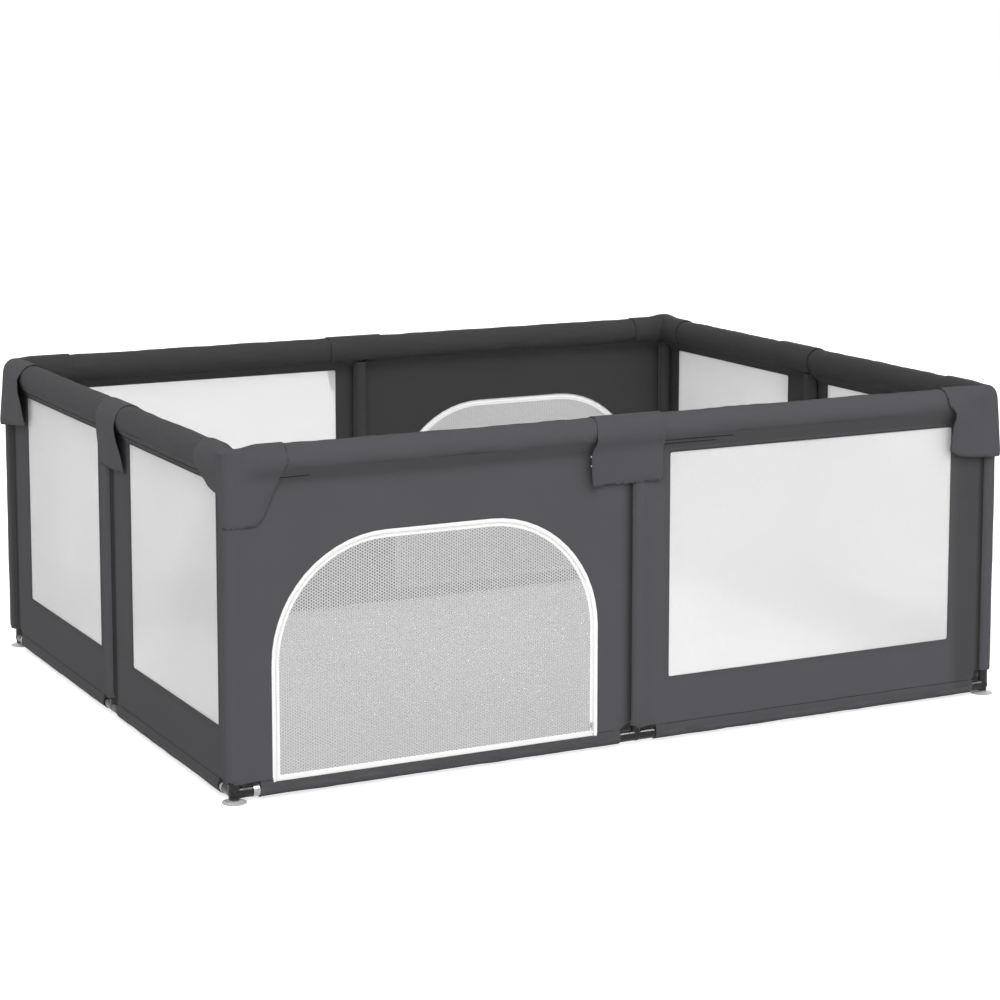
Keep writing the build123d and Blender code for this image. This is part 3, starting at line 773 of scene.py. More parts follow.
def steel_material(name, tint):
    """Zinc-plated tube with dull patches."""
    n, where = start_material(name, mapped=False)
    wear = n.group("Scuffs", Vector=where, Scale=30.0, Amount=0.5)
    finish_material(
        n,
        Base_Color=n.mix(wear["Mask"], rgba(tint), rgba((0.28, 0.29, 0.30))),
        Metallic=1.0,
        Roughness=n.ramp(wear["Mask"], 0.0, 0.5, 0.3, 0.46),
        Normal=n.bump(wear["Height"], 0.1, 0.0001),
    )


def cup_material(name, tint):
    """Clear soft plastic, slightly clouded."""
    n, where = start_material(name, mapped=False)
    cloud = n.noise(where, 160.0, 3.0)
    finish_material(
        n,
        Base_Color=n.mix(n.ramp(cloud, 0.3, 0.7), rgba(tint), rgba((0.78, 0.8, 0.8))),
        Roughness=n.ramp(cloud, 0.3, 0.8, 0.12, 0.3),
        Transmission_Weight=0.55,
        IOR=1.45,
        Alpha=0.9,
    )


def material(name):
    return bpy.data.materials[name]


def paint(node, name):
    """Gives a carried-over CAD node its finish."""
    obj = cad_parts[node]
    if not obj.material_slots:
        obj.data.materials.append(material(name))
    for place in obj.material_slots:
        place.material = material(name)


# ---------------------------------------------------------------- geometry node trees
def line_tree(name, sizes, result):
    """A tree that works along a mesh's lines: (its Nodes, what it is given, the lines' curve)."""
    tree = bpy.data.node_groups.new(name, "GeometryNodeTree")
    new = tree.interface.new_socket
    new(name="Lines", in_out="INPUT", socket_type="NodeSocketGeometry")
    for label, value in sizes.items():
        new(name=label, in_out="INPUT", socket_type=NUMBER).default_value = value
    new(name="Finish", in_out="INPUT", socket_type="NodeSocketMaterial")
    new(name=result, in_out="OUTPUT", socket_type="NodeSocketGeometry")
    n = Nodes(tree)
    given = n.add("NodeGroupInput").outputs
    return n, given, n.add("GeometryNodeMeshToCurve", {"Mesh": given["Lines"]}).outputs[0]


def beads_tree():
    """Small rounded pieces along every line of a mesh, such as stitches or zip teeth."""
    sizes = {"Spacing": 0.004, "Length": 0.003, "Width": 0.0008, "Height": 0.0006}
    n, given, curve = line_tree("Beads Along Lines", sizes, "Beads")
    spaced = {"Curve": curve, "Length": given["Spacing"]}
    points = n.add("GeometryNodeCurveToPoints", spaced, mode="LENGTH").outputs
    bead = n.add("GeometryNodeMeshUVSphere", {"Segments": 6, "Rings": 4, "Radius": 0.5})
    along = {"Vector": points["Tangent"]}
    turn = n.add("FunctionNodeAlignRotationToVector", along, axis="X").outputs[0]
    size = {0: given["Length"], 1: given["Width"], 2: given["Height"]}
    placed = n.add(
        "GeometryNodeInstanceOnPoints",
        {
            "Points": points["Points"],
            "Instance": bead.outputs["Mesh"],
            "Rotation": turn,
            "Scale": n.add("ShaderNodeCombineXYZ", size).outputs[0],
        },
    )
    real = n.add("GeometryNodeRealizeInstances", {0: placed.outputs[0]})
    smooth = n.add("GeometryNodeSetShadeSmooth", {0: real.outputs[0]})
    finish = {"Geometry": smooth.outputs[0], "Material": given["Finish"]}
    n.add("NodeGroupOutput", {"Beads": n.add("GeometryNodeSetMaterial", finish).outputs[0]})


def cord_tree():
    """A round cord along every line of a mesh."""
    n, given, curve = line_tree("Cord Along Lines", {"Radius": 0.001}, "Cord")
    ring = n.add("GeometryNodeCurvePrimitiveCircle", {"Resolution": 8, "Radius": given["Radius"]})
    sweep = {"Curve": curve, "Profile Curve": ring.outputs[0], "Fill Caps": True}
    swept = n.add("GeometryNodeCurveToMesh", sweep)
    real = n.add("GeometryNodeRealizeInstances", {0: swept.outputs[0]})
    finish = {"Geometry": real.outputs[0], "Material": given["Finish"]}
    n.add("NodeGroupOutput", {"Cord": n.add("GeometryNodeSetMaterial", finish).outputs[0]})


def along_lines(name, lines, tree, **inputs):
    """A plain mesh made by a tree from lines, each a list of points in the row frame."""
    points, edges = [], []
    for line in lines:
        line = np.asarray(line, float)
        edges.extend((len(points) + k, len(points) + k + 1) for k in range(len(line) - 1))
        points.extend(line.tolist())
    mesh = bpy.data.meshes.new(name)
    mesh.from_pydata(points, edges, [])
    obj = new_object(name, mesh)
    modifier = obj.modifiers.new("Tree", "NODES")
    modifier.node_group = bpy.data.node_groups[tree]
    for item in modifier.node_group.interface.items_tree:
        if item.in_out == "INPUT" and item.name in inputs:
            modifier[item.identifier] = inputs[item.name]
    depsgraph = bpy.context.evaluated_depsgraph_get()
    result = bpy.data.meshes.new_from_object(obj.evaluated_get(depsgraph))
    obj.modifiers.remove(modifier)
    obj.data = result
    result.name = name
    return obj


# ---------------------------------------------------------------- operators
class PlaypenOperator(bpy.types.Operator):
    """Shared settings of the playpen's operators."""

    bl_options = {"REGISTER", "UNDO"}

    def execute(self, context):
        self.sizes = context.scene.playpen_sizes
        self.colours = context.scene.playpen_colours
        self.make()
        return {"FINISHED"}

    def sew(self, name, lines, body, part, finish="Thread"):
        """A row of stitches along each line, which rides with a body."""
        s = self.sizes
        stitch = dict(Spacing=s.stitch_gap, Length=s.stitch, Width=s.thread, Height=s.thread)
        seams = along_lines(name, lines, "Beads Along Lines", Finish=material(finish), **stitch)
        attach(seams, body)


class PLAYPEN_OT_finishes(PlaypenOperator):
    """Makes the node groups and the materials"""

    bl_idname = "playpen.finishes"
    bl_label = "Finishes"

    def make(self):
        c = self.colours
        for build in (weave_group, heather_group, wear_group, holes_group, beads_tree, cord_tree):
            build()
        cloth_material("Cover Cloth", c.cloth, c.inner_face, c.seam)
        cloth_material("Cap Cloth", c.cloth, c.inner_face, c.seam, amount=0.2, bump=0.45)
        thread = [min(1, 1.25 * v) for v in c.cloth]
        cloth_material("Thread", thread, c.inner_face, c.seam, thread=0.0004)
        # a near-black cloth for the cords in the creases: painted shadow
        cloth_material("Seam", c.seam, c.seam, c.seam, thread=0.0004)
        # the grey after the hole size is painted shade in the netting's holes
        net_material("Window Net", c.window, 0.0022, 0.28, (0.76, 0.76, 0.76), 0.5, 0.36)
        net_material("Door Net", c.door, 0.0058, 0.29, (0.33, 0.33, 0.33), 0.45, 0.1)
        tape_material("Zip Tape", c.tape)
        tape_material("Zip Coil", [0.96 * v for v in c.tape], rib=0.0008)
        plastic_material("Black Plastic", c.plastic)
        steel_material("Plated Steel", c.steel)
        plastic_material("Zip Metal", (0.58, 0.58, 0.59), 0.42, 0.5)
        cup_material("Clear Cup", c.cup)


class PLAYPEN_OT_hardware(PlaypenOperator):
    """Gives the tubes, connectors, suction cups and zip metal their finishes"""

    bl_idname = "playpen.hardware"
    bl_label = "Hardware"

    def make(self):
        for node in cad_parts:
            if "_rails_" in node or node.endswith("_posts"):
                paint(node, "Plated Steel")
            elif node.startswith(("bottom_corner", "bottom_tee", "top_corner", "top_tees")):
                paint(node, "Black Plastic")
            elif node.startswith("suction_cup"):
                paint(node, "Clear Cup")
            elif node.endswith(("zip_slider", "zip_pull")):
                paint(node, "Zip Metal")


class PLAYPEN_OT_panels(PlaypenOperator):
    """Makes the cover's panels, each with its hem and the sleeves sewn to it"""

    bl_idname = "playpen.panels"
    bl_label = "Cover Panels"

    def hem(self, cloth, bay):
        """The round of cloth that holds the bottom rail."""
        x = np.linspace(*bay.hem, int((bay.hem[1] - bay.hem[0]) / 0.012))
        turns = 32
        around = np.linspace(0, 2 * pi, turns + 1)
        # painted shade: the half turned into the pen takes the darker inner colour, and the underside
        # is painted darker still as a contact shadow
        behind, under = ease(-0.4, 0.5, np.cos(around)), ease(-0.55, -0.95, np.sin(around))
        tube_along_x(
            cloth,
            x,
            self.sizes.hem_radius,
            LOW_Z,
            bay.side,
            thin=0.0013,
            inside=np.maximum(behind, 1.3 * under),
            depth=0.0006,
            turns=turns,
        )

    def sleeve(self, cloth, bay, axis):
        """The sleeve that holds a post."""
        s = self.sizes
        low = SLEEVE_LOW + (bay.lift if axis == bay.end and bay.lift else 0.004)
        z = np.linspace(low, TOP_Z - 0.031, 60)
        around = np.linspace(0, 2 * pi, 41)
        zz, tt = np.meshgrid(z, around, indexing="ij")
        wave = 0.0004 * lattice(4 * np.cos(tt) + 9, zz / 0.05, bay.seed + 3)
        wave[:, -1] = wave[:, 0]
        r = s.sleeve_radius + wave
        if bay.name == "back_window" and axis == bay.end:
            # this one is slack on the outside of the corner
            r = r + SLACK_SLEEVE * np.maximum(np.cos(tt + pi / 4), 0) ** 2 * ease(0.025, 0.05, zz)
        ring = lambda r: to_row(
            np.stack([axis + r * np.cos(tt), r * np.sin(tt), zz], axis=-1), bay.side
        )
        uv = np.stack([tt * s.sleeve_radius + axis, zz], axis=-1)
        # painted shade: the half of the sleeve turned into the pen takes the darker inner colour
        inside = ease(-0.2, 0.5, np.sin(tt))
        cloth.shell(ring(r), ring(r * 0 + s.sleeve_radius - 0.0032), uv, (inside, 1.0), rims="i")

    def gusset(self, cloth, bay, axis, high):
        """The bit of cloth that closes the corner between the hem and a post, painted near black as the
        shade in that corner.
        """
        z = np.linspace(LOW_Z + 0.009, LOW_Z + high, 6)
        heights = [z[0], LOW_Z + 0.016, LOW_Z + 0.044]
        near, far = np.full(6, 0.0135), np.interp(z, heights, [0.046, 0.046, 0.018])
        x = axis + bay.inward(axis) * np.stack([near, (near + far) / 2, far], axis=1)
        z = np.repeat(z[:, None], 3, axis=1)
        layer = lambda out: to_row(np.stack([x, x * 0 - out, z], axis=-1), bay.side)
        cloth.shell(layer(0.0066), layer(0.0056), np.stack([x, z], axis=-1), (1.6, 1.6))

    def make(self):
        s = self.sizes
        for bay in BAYS:
            cloth = Cloth()
            inner, outer = bay.opening(), bay.outline()
            centre = (inner.min(axis=0) + inner.max(axis=0)) / 2
            grid = ring_points(inner, outer, centre)
            x, z = grid[..., 0], grid[..., 1]
            out = bay.face(x, z, s)
            layer = lambda depth: to_row(np.stack([x, -(out - depth), z], axis=-1), bay.side)
            # the inner face comes down from the padding at a slant too
            inner_face = s.panel_wall + 0.026 * ease(0.050, 0.024, TOP_Z - z)
            # the outer face takes the bay's painted shade, the inner face the darker inner colour of
            # painted shade
            cloth.shell(layer(0.0), layer(inner_face), grid, (bay.shade(x, z), 1.0), rims="j")
            self.hem(cloth, bay)
            for axis, runs_off in bay.posts():
                if not runs_off:
                    self.gusset(cloth, bay, axis, 0.044)
                elif axis == bay.start:
                    self.gusset(cloth, bay, axis, 0.022)
            sleeves = SLEEVES.get(bay.name, [])
            for end in sleeves:
                self.sleeve(cloth, bay, bay.start if end == "start" else bay.end)
            panel = cloth.build("panel_" + bay.name, material("Cover Cloth"))
            hole = np.ptp(inner, axis=0).prod()
            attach(panel, "frame")
            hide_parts(bay.node)


class PLAYPEN_OT_rail_pads(PlaypenOperator):
    """Makes the padded rolls round the top rails"""

    bl_idname = "playpen.rail_pads"
    bl_label = "Rail Pads"

    def make(self):
        s = self.sizes
        around = np.linspace(0, 2 * pi, 49)
        # painted shade: the half turned into the pen takes the darker inner colour, and the lower half
        # is painted darker
        behind, under = ease(-0.4, 0.5, np.cos(around)), ease(0.2, -0.6, np.sin(around))
        for bay in BAYS:
            cloth = Cloth()
            x = np.linspace(*bay.wrap, int((bay.wrap[1] - bay.wrap[0]) / 0.007))
            shade = np.maximum(behind, 0.30 * under)
            # painted shade: the pads on the left side are darker still
            shade = np.maximum(shade, 0.45 * (bay.side == "left"))
            folds = dict(depth=0.9 * s.fold_depth, seed=bay.seed)
            tube_along_x(cloth, x, s.rail_radius, TOP_Z, bay.side, inside=shade, **folds)
            pad = cloth.build("rail_pad_" + bay.name, material("Cover Cloth"))
            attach(pad, "frame")
            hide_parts(bay.node, "rail_foam")


def give(width, *distances):
    """How far cloth may give: 0 where it is sewn, up to 1 at a width from every edge."""
    return np.prod(np.broadcast_arrays(*(ease(0, width, d) for d in distances)), axis=0)


class PLAYPEN_OT_windows(PlaypenOperator):
    """Makes the window netting"""

    bl_idname = "playpen.windows"
    bl_label = "Window Netting"

    def make(self):
        for side in SIDES:
            cloth, area, widths = Cloth(), 0.0, 0.0
            bays = [bay for bay in bays_on(side) if bay.window]
            for bay in bays:
                x0, x1, z0, z1 = bay.window
                across = np.linspace(x0 - NET_LAP, x1 + NET_LAP, 70)
                x, z = np.meshgrid(across, np.linspace(z0 - NET_LAP, z1 + NET_LAP, 50), indexing="ij")
                loose = give(0.05, x - x0, x1 - x, z - z0, z1 - z)
                y = -PANEL_MID + 0.0014 * loose * lattice(x / 0.11, z / 0.16, bay.seed + 7)
                layer = lambda d: to_row(np.stack([x, y + d, z], axis=-1), side)
                uv = np.stack([x, z], axis=-1)
                cloth.shell(layer(-NET_HALF), layer(NET_HALF), uv, (0.0, 0.0))
                area += (x1 - x0) * (z1 - z0)
                widths += x1 - x0
            net = cloth.build("netting_" + side, material("Window Net"))
            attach(net, "frame")
            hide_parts("window_netting_" + side)


def spread_path(points, step):
    """A polyline with points about step apart that keeps its corners."""
    out = [points[0]]
    for a, b in zip(points[:-1], points[1:]):
        parts = max(1, int(round(np.linalg.norm(b - a) / step)))
        out.extend(a + (b - a) * k / parts for k in range(1, parts + 1))
    return np.array(out)


def arch_strip(insets, step=0.010):
    """A strip along the arch between insets: (along, across, x and z), and the distance along it."""
    base = doorway(0.0)
    spans = [np.linalg.norm(b - a) for a, b in zip(base[:-1], base[1:])]
    counts = [max(1, int(round(span / step))) for span in spans]
    rows = []
    for points in (doorway(inset) for inset in insets):
        row = [points[0]]
        for a, b, parts in zip(points[:-1], points[1:], counts):
            row.extend(a + (b - a) * k / parts for k in range(1, parts + 1))
        rows.append(row)
    grid = np.array(rows).transpose(1, 0, 2)
    steps = np.linalg.norm(np.diff(grid[:, 0], axis=0), axis=1)
    return grid, np.concatenate([[0], np.cumsum(steps)])


def arch_line(inset, out, trim=0):
    """A line along the arch, in its side's frame, with some points trimmed off both its feet."""
    x, z = arch_strip([inset], 0.006)[0][:, 0].T
    line = np.stack([x, x * 0 - out, z], axis=-1)
    return line[trim : len(line) - trim]


# the doorway's tape: how far in each of its lines lies, and how far out its face stands there
TAPE_LINES = [
    (-0.0012, 0.0104),
    (-0.0008, 0.0112),
    (0.002, 0.0114),
    (0.0045, 0.0108),
    (0.0062, 0.0103),
    (0.0066, 0.0096),
]
TAPE_WALL = 0.0014
BORDER_FACE, BORDER_BACK, BORDER_CROWN = 0.0087, 0.0070, 0.0003
BORDER_INSET, NET_INSET = 0.0146, 0.0130
COIL_OUT, COIL_LENGTH, COIL_WIDTH = 0.0101, 0.0015, 0.0017
# how many points a door's lines lose at the feet, so that they clear the hem as the door folds down
DOOR_TRIM = 3


class PLAYPEN_OT_doors(PlaypenOperator):
    """Makes the doors: netting, white border, zip tapes and zip coil"""

    bl_idname = "playpen.doors"
    bl_label = "Doors"

    def tape(self, side):
        """The zip tape sewn round the doorway."""
        cloth = Cloth()
        insets, faces = np.array(TAPE_LINES).T
        grid, along = arch_strip(insets)
        x, z = grid[..., 0], grid[..., 1]
        uv = np.stack(np.broadcast_arrays(along[:, None], insets[None]), axis=-1)
        layer = lambda d: to_row(np.stack([x, x * 0 - (faces - d), z], axis=-1), side)
        cloth.shell(layer(0.0), layer(TAPE_WALL), uv, (0.0, 0.0))
        tape = cloth.build(f"{side}_outer_tape", material("Zip Tape"))
        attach(tape, "frame")
        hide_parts(f"{side}_doorway_tape")

    def border(self, side, door):
        """The white band round the door's net."""
        cloth = Cloth()
        outer, inner = doorway(TAPE_WIDTH + ZIP_GAP), doorway(BORDER_INSET, HINGE_Z + BAND)
        centre = (inner.min(axis=0) + inner.max(axis=0)) / 2
        grid = ring_points(inner, outer, centre, rows=9)
        x, z = grid[..., 0], grid[..., 1]
        crown = BORDER_CROWN * np.sin(pi * np.linspace(0, 1, grid.shape[1])[None]) ** 0.5
        layer = lambda out: to_row(np.stack([x, -(x * 0 + out), z], axis=-1), side)
        cloth.shell(layer(BORDER_FACE + crown), layer(BORDER_BACK), grid, (0.0, 0.0), rims="j")
        border = cloth.build(f"{side}_border", material("Zip Tape"))
        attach(border, door)
        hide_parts(f"{side}_door_border")

    def net(self, side, door):
        """The door's netting, stretched in its border."""
        left, right = DOOR_LEFT + NET_INSET, DOOR_RIGHT - NET_INSET
        low, head = HINGE_Z + BAND - 0.002, DOOR_HEAD - NET_INSET
        radius = DOOR_ARCH - NET_INSET
        quarter = np.linspace(0, pi / 2, 34)
        across = [
            left + radius * (1 - np.cos(quarter)),
            np.linspace(left + radius, right - radius, 30)[1:-1],
            right - radius + radius * np.sin(quarter),
        ]
        x = np.concatenate(across)[:, None]
        reach = np.clip(np.minimum(x - left, right - x), 0, radius)
        top = head - radius + np.sqrt(np.maximum(radius**2 - (radius - reach) ** 2, 0))
        z = low + np.linspace(0, 1, 50)[None] * (top - low)
        x = np.repeat(x, 50, axis=1)
        loose = give(0.06, reach, z - low, top - z)
        y = -PANEL_MID + 0.002 * loose * lattice(x / 0.14, z / 0.17, 91)
        layer = lambda d: to_row(np.stack([x, y + d, z], axis=-1), side)
        cloth = Cloth()
        cloth.shell(layer(-NET_HALF), layer(NET_HALF), np.stack([z, x], axis=-1), (0.0, 0.0))
        net = cloth.build(f"{side}_door_net", material("Door Net"))
        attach(net, door)
        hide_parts(f"{side}_door_netting")

    def coil(self, name, side, inset, body, trim):
        """One half of the zip: its teeth along the edge of a tape."""
        gap, width = self.sizes.tooth_gap, COIL_WIDTH
        teeth = dict(Spacing=gap, Length=COIL_LENGTH, Width=width, Height=width)
        line = to_row(arch_line(inset, COIL_OUT, trim), side)
        coil = along_lines(name, [line], "Beads Along Lines", Finish=material("Zip Coil"), **teeth)
        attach(coil, body)

    def make(self):
        for side in ("front", "back"):
            door = side + "_door"
            self.tape(side)
            self.border(side, door)
            self.net(side, door)
            self.coil(f"{side}_frame_coil", side, 0.0064, "frame", 1)
            self.coil(f"{side}_door_coil", side, 0.0083, door, DOOR_TRIM)


class PLAYPEN_OT_stitches(PlaypenOperator):
    """Sews the stitch rows along the cover's seams, the windows and the zip tapes"""

    bl_idname = "playpen.stitches"
    bl_label = "Stitches"

    def on_face(self, bay, points, lift=0.0002):
        """Points of a panel, moved out to a height above its face."""
        x, z = points[:, 0], points[:, 1]
        out = bay.face(x, z, self.sizes) + lift
        return to_row(np.stack([x, -out, z], axis=-1), bay.side)

    def fold_line(self, bay, start, end, drop):
        """The line of a fold where the cover closes under the rail's foam, for a near-black cord that
        paints the shadow in the crease.
        """
        x = np.linspace(start, end, 40)
        z = TOP_Z - drop + 0.0008 * lattice(x / 0.05, 3.0, bay.seed + 9)
        return self.on_face(bay, np.stack([x, z], axis=1), 0.0001)

    def folds(self, side):
        """The lines for the near-black cords under one side's rail: painted shadow in its creases."""
        first, second = bays_on(side)
        if side in ("left", "right"):
            spans = [(bay, bay.wrap[0] + 0.03, bay.wrap[1] - 0.03) for bay in (first, second)]
            return [self.fold_line(*span, 0.0285) for span in spans]
        return [
            self.fold_line(first, first.start + 0.066, first.start + 0.15, 0.0300),
            self.fold_line(second, second.start + 0.045, second.start + 0.21, 0.0235),
            self.fold_line(second, second.start + 0.050, second.start + 0.17, 0.0310),
        ]

    def hem_spans(self, bay):
        """Where the hem runs without a doorway above it."""
        if bay.window:
            return [bay.hem]
        return [(bay.hem[0], DOOR_LEFT - 0.002), (DOOR_RIGHT + 0.002, bay.hem[1])]

    def hem_lines(self, bay):
        """The line for a near-black cord along the top of the hem: painted shadow in the crease there.
        """
        out = []
        for start, end in self.hem_spans(bay):
            x = np.linspace(start + 0.001, end - 0.001, max(4, int((end - start) / 0.012)))
            z = LOW_Z + 0.0170 + 0.0005 * lattice(x / 0.04, 5.0, bay.seed + 10)
            out.append(self.on_face(bay, np.stack([x, z], axis=1), -0.0004))
        return out

    def rows(self, bay):
        """The stitch rows of a panel: above the hem, under the rail, round the window, up the posts."""
        hem, under = LOW_Z + 0.0205, TOP_Z - 0.0365
        rows = [np.array([(a + 0.004, hem), (b - 0.004, hem)]) for a, b in self.hem_spans(bay)]
        rows.append(np.array([(bay.start + 0.03, under), (bay.end - 0.03, under)]))
        if bay.window:
            x0, x1, z0, z1 = bay.window
            for gap in (0.0035, 0.0095):
                loop = rounded(x0 - gap, x1 + gap, z0 - gap, z1 + gap, WINDOW_CORNER + gap)
                rows.append(np.concatenate([loop, loop[:1]]))
        for axis, runs_off in bay.posts():
            if not runs_off:
                x = axis + bay.inward(axis) * 0.027
                rows.append(np.array([(x, SLEEVE_LOW + 0.02), (x, TOP_Z - 0.04)]))
        return [self.on_face(bay, spread_path(row, 0.008)) for row in rows]

    def make(self):
        for side in SIDES:
            bays = bays_on(side)
            self.sew("stitches_" + side, sum((self.rows(bay) for bay in bays), []), "frame", "cover")
            hems = sum((self.hem_lines(bay) for bay in bays), [])
            # near-black cords in the creases under the rails and above the hems: painted shadow
            cords = (("fold_cord_", 0.0008, self.folds(side)), ("hem_cord_", 0.0007, hems))
            for name, radius, lines in cords:
                look = dict(Radius=radius, Finish=material("Seam"))
                cord = along_lines(name + side, lines, "Cord Along Lines", **look)
                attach(cord, "frame")
        for side in ("front", "back"):
            line = to_row(arch_line(0.0012, 0.0115), side)
            self.sew(f"{side}_tape_stitches", [line], "frame", "trim", "Zip Tape")
            out = 0.0091
            x = np.linspace(DOOR_LEFT + 0.012, DOOR_RIGHT - 0.012, 60)
            across = np.stack([x, x * 0 - out, x * 0 + HINGE_Z + BAND - 0.0018], axis=-1)
            lines = [to_row(line, side) for line in (arch_line(0.0133, out, DOOR_TRIM), across)]
            self.sew(f"{side}_border_stitches", lines, side + "_door", "trim", "Zip Tape")


# ---------------------------------------------------------------- caps over the rails
CAP_WALL, MIDDLE_CAP_WALL = 0.0022, 0.0026
CAP_SEAM = 0.006  # from a cap's lower edge up to its stitch row
MIDDLE_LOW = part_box("cap_flap_front")[0][2]
CORNER_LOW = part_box("corner_cap_front_left")[0]
CAP_RADIUS = -HALF_Y - CORNER_LOW[1]
CAP_HANG = 0.0201  # outer face of a cap's hanging side, from the posts' axes
# free edge of each kind of leg: drops below the rail's axis, and reaches from the post's axis
LEGS = {
    "short": ([0.0, 0.0415, 0.105, 0.1195], [0.103, 0.087, 0.060, 0.044]),
    "cut away": (
        [0.036, 0.041, 0.053, 0.059, 0.066, 0.1195],
        [0.108, 0.092, 0.072, 0.031, 0.021, 0.018],
    ),
    "wide": ([0.0, 0.060, 0.104, 0.112, 0.1195], [0.142, 0.149, 0.148, 0.080, 0.020]),
    "long": (
        [0.0, 0.018, 0.030, 0.045, 0.100, 0.112, 0.1195],
        [0.127, 0.109, 0.112, 0.115, 0.115, 0.092, 0.040],
    ),
}
# each corner cap: its side frame, its two legs, whether it hangs straight off the rail, its outer
# radius at the bend beside the rail and at the foot, where the foam starts to carry it along a
# leg, and how far its top sags at the bend
CORNERS = {
    "front_left": ("front", "short", "cut away", False, 0.0201, 0.0201, (0.004, 0.050), 0.006),
    "front_right": ("right", "wide", "long", True, 0.0198, 0.0290, (0.010, 0.075), 0.002),
    "back_right": ("back", "short", "cut away", False, 0.0201, 0.0201, (0.004, 0.050), -0.005),
    "back_left": ("left", "wide", "long", True, 0.0270, 0.0370, (0.004, 0.040), 0.003),
}
# the free edge of a straight leg, off the rail and then closer to the panel at the foot: drops
# below the rail's axis, and distances out
LEG_LEAN = ([-0.02, 0.0, 0.03, 0.06, 0.12], [0, 0.006, 0.006, 0.000, -0.012])
# each middle cap: how round its corners are, how much higher it ends, how far its second edge is
# drawn in at the rail and at the foot, and how far its first edge stands off
MIDDLE_CAPS = {
    "front": (0.018, 0.004, (0, 0), 0.011),
    "right": (0.018, 0.0, (0, 0), 0.002),
    "back": (0.018, 0.0, (-0.006, -0.024), 0.002),
    "left": (0.006, 0.0, (-0.016, -0.009), 0.0),
}
# a middle cap's slack first edge, drawn in below the rail and out again lower down
EDGE_SLACK = (
    [-0.0335, 0.0, 0.010, 0.020, 0.040, 0.075, 0.105],
    [-0.016, -0.010, -0.008, -0.004, 0.001, 0.001, 0],
)
# the flap on the left leans in to the panel from the widest part of the rail
FLAP_LEAN = ([0.0, 0.030, 0.105], [0, -0.003, -0.013])
STUD_RADIUS, STUD_DROPS = 0.0018, (0.0435, 0.0595)


def cap_section(low, straight, spacing=0.0035):
    """A cap's section from its inner edge over the rail and down: points, normals, distance."""
    turn = np.radians(np.linspace(-50, 180 if straight else 210, 80))
    arc = np.stack([-CAP_RADIUS * np.cos(turn), TOP_Z + CAP_RADIUS * np.sin(turn)], axis=1)
    knee = arc[-1, 1] - (arc[-1, 0] - CAP_HANG) * sqrt(3)
    side = [[CAP_RADIUS, low]] if straight else [[CAP_HANG, knee], [CAP_HANG, low]]
    path = np.concatenate([arc, side])
    along = np.concatenate([[0], np.cumsum(np.linalg.norm(np.diff(path, axis=0), axis=1))])
    even = np.linspace(0, along[-1], int(along[-1] / spacing))
    path = np.stack([np.interp(even, along, path[:, k]) for k in (0, 1)], axis=1)
    for _ in range(6):
        path[1:-1] = (path[:-2] + 2 * path[1:-1] + path[2:]) / 4
    way = np.gradient(path, axis=0)
    way /= np.linalg.norm(way, axis=1)[:, None]
    return path, np.stack([-way[:, 1], way[:, 0]], axis=1), even


def cap_cloth(name, side, outer, inner, across, along, out):
    """A cap's mesh with painted shade: the darker inner colour where it turns into the pen, and near
    black on its underside and cut edges, as the shadow in the slits under them.
    """
    uv = np.stack(np.broadcast_arrays(across, along[:, None]), axis=-1)
    # painted shade: the part of the cap over the pen's inside is darkened; the underside at 1.7 and the
    # cut edges at 1.6 are near-black painted shadow
    shade = ease(0.002, -0.014, out)[:, None]
    cloth = Cloth()
    cloth.shell(to_row(outer, side), to_row(inner, side), uv, (shade, 1.7), rim=1.6)
    return cloth.build(name, material("Cap Cloth"))


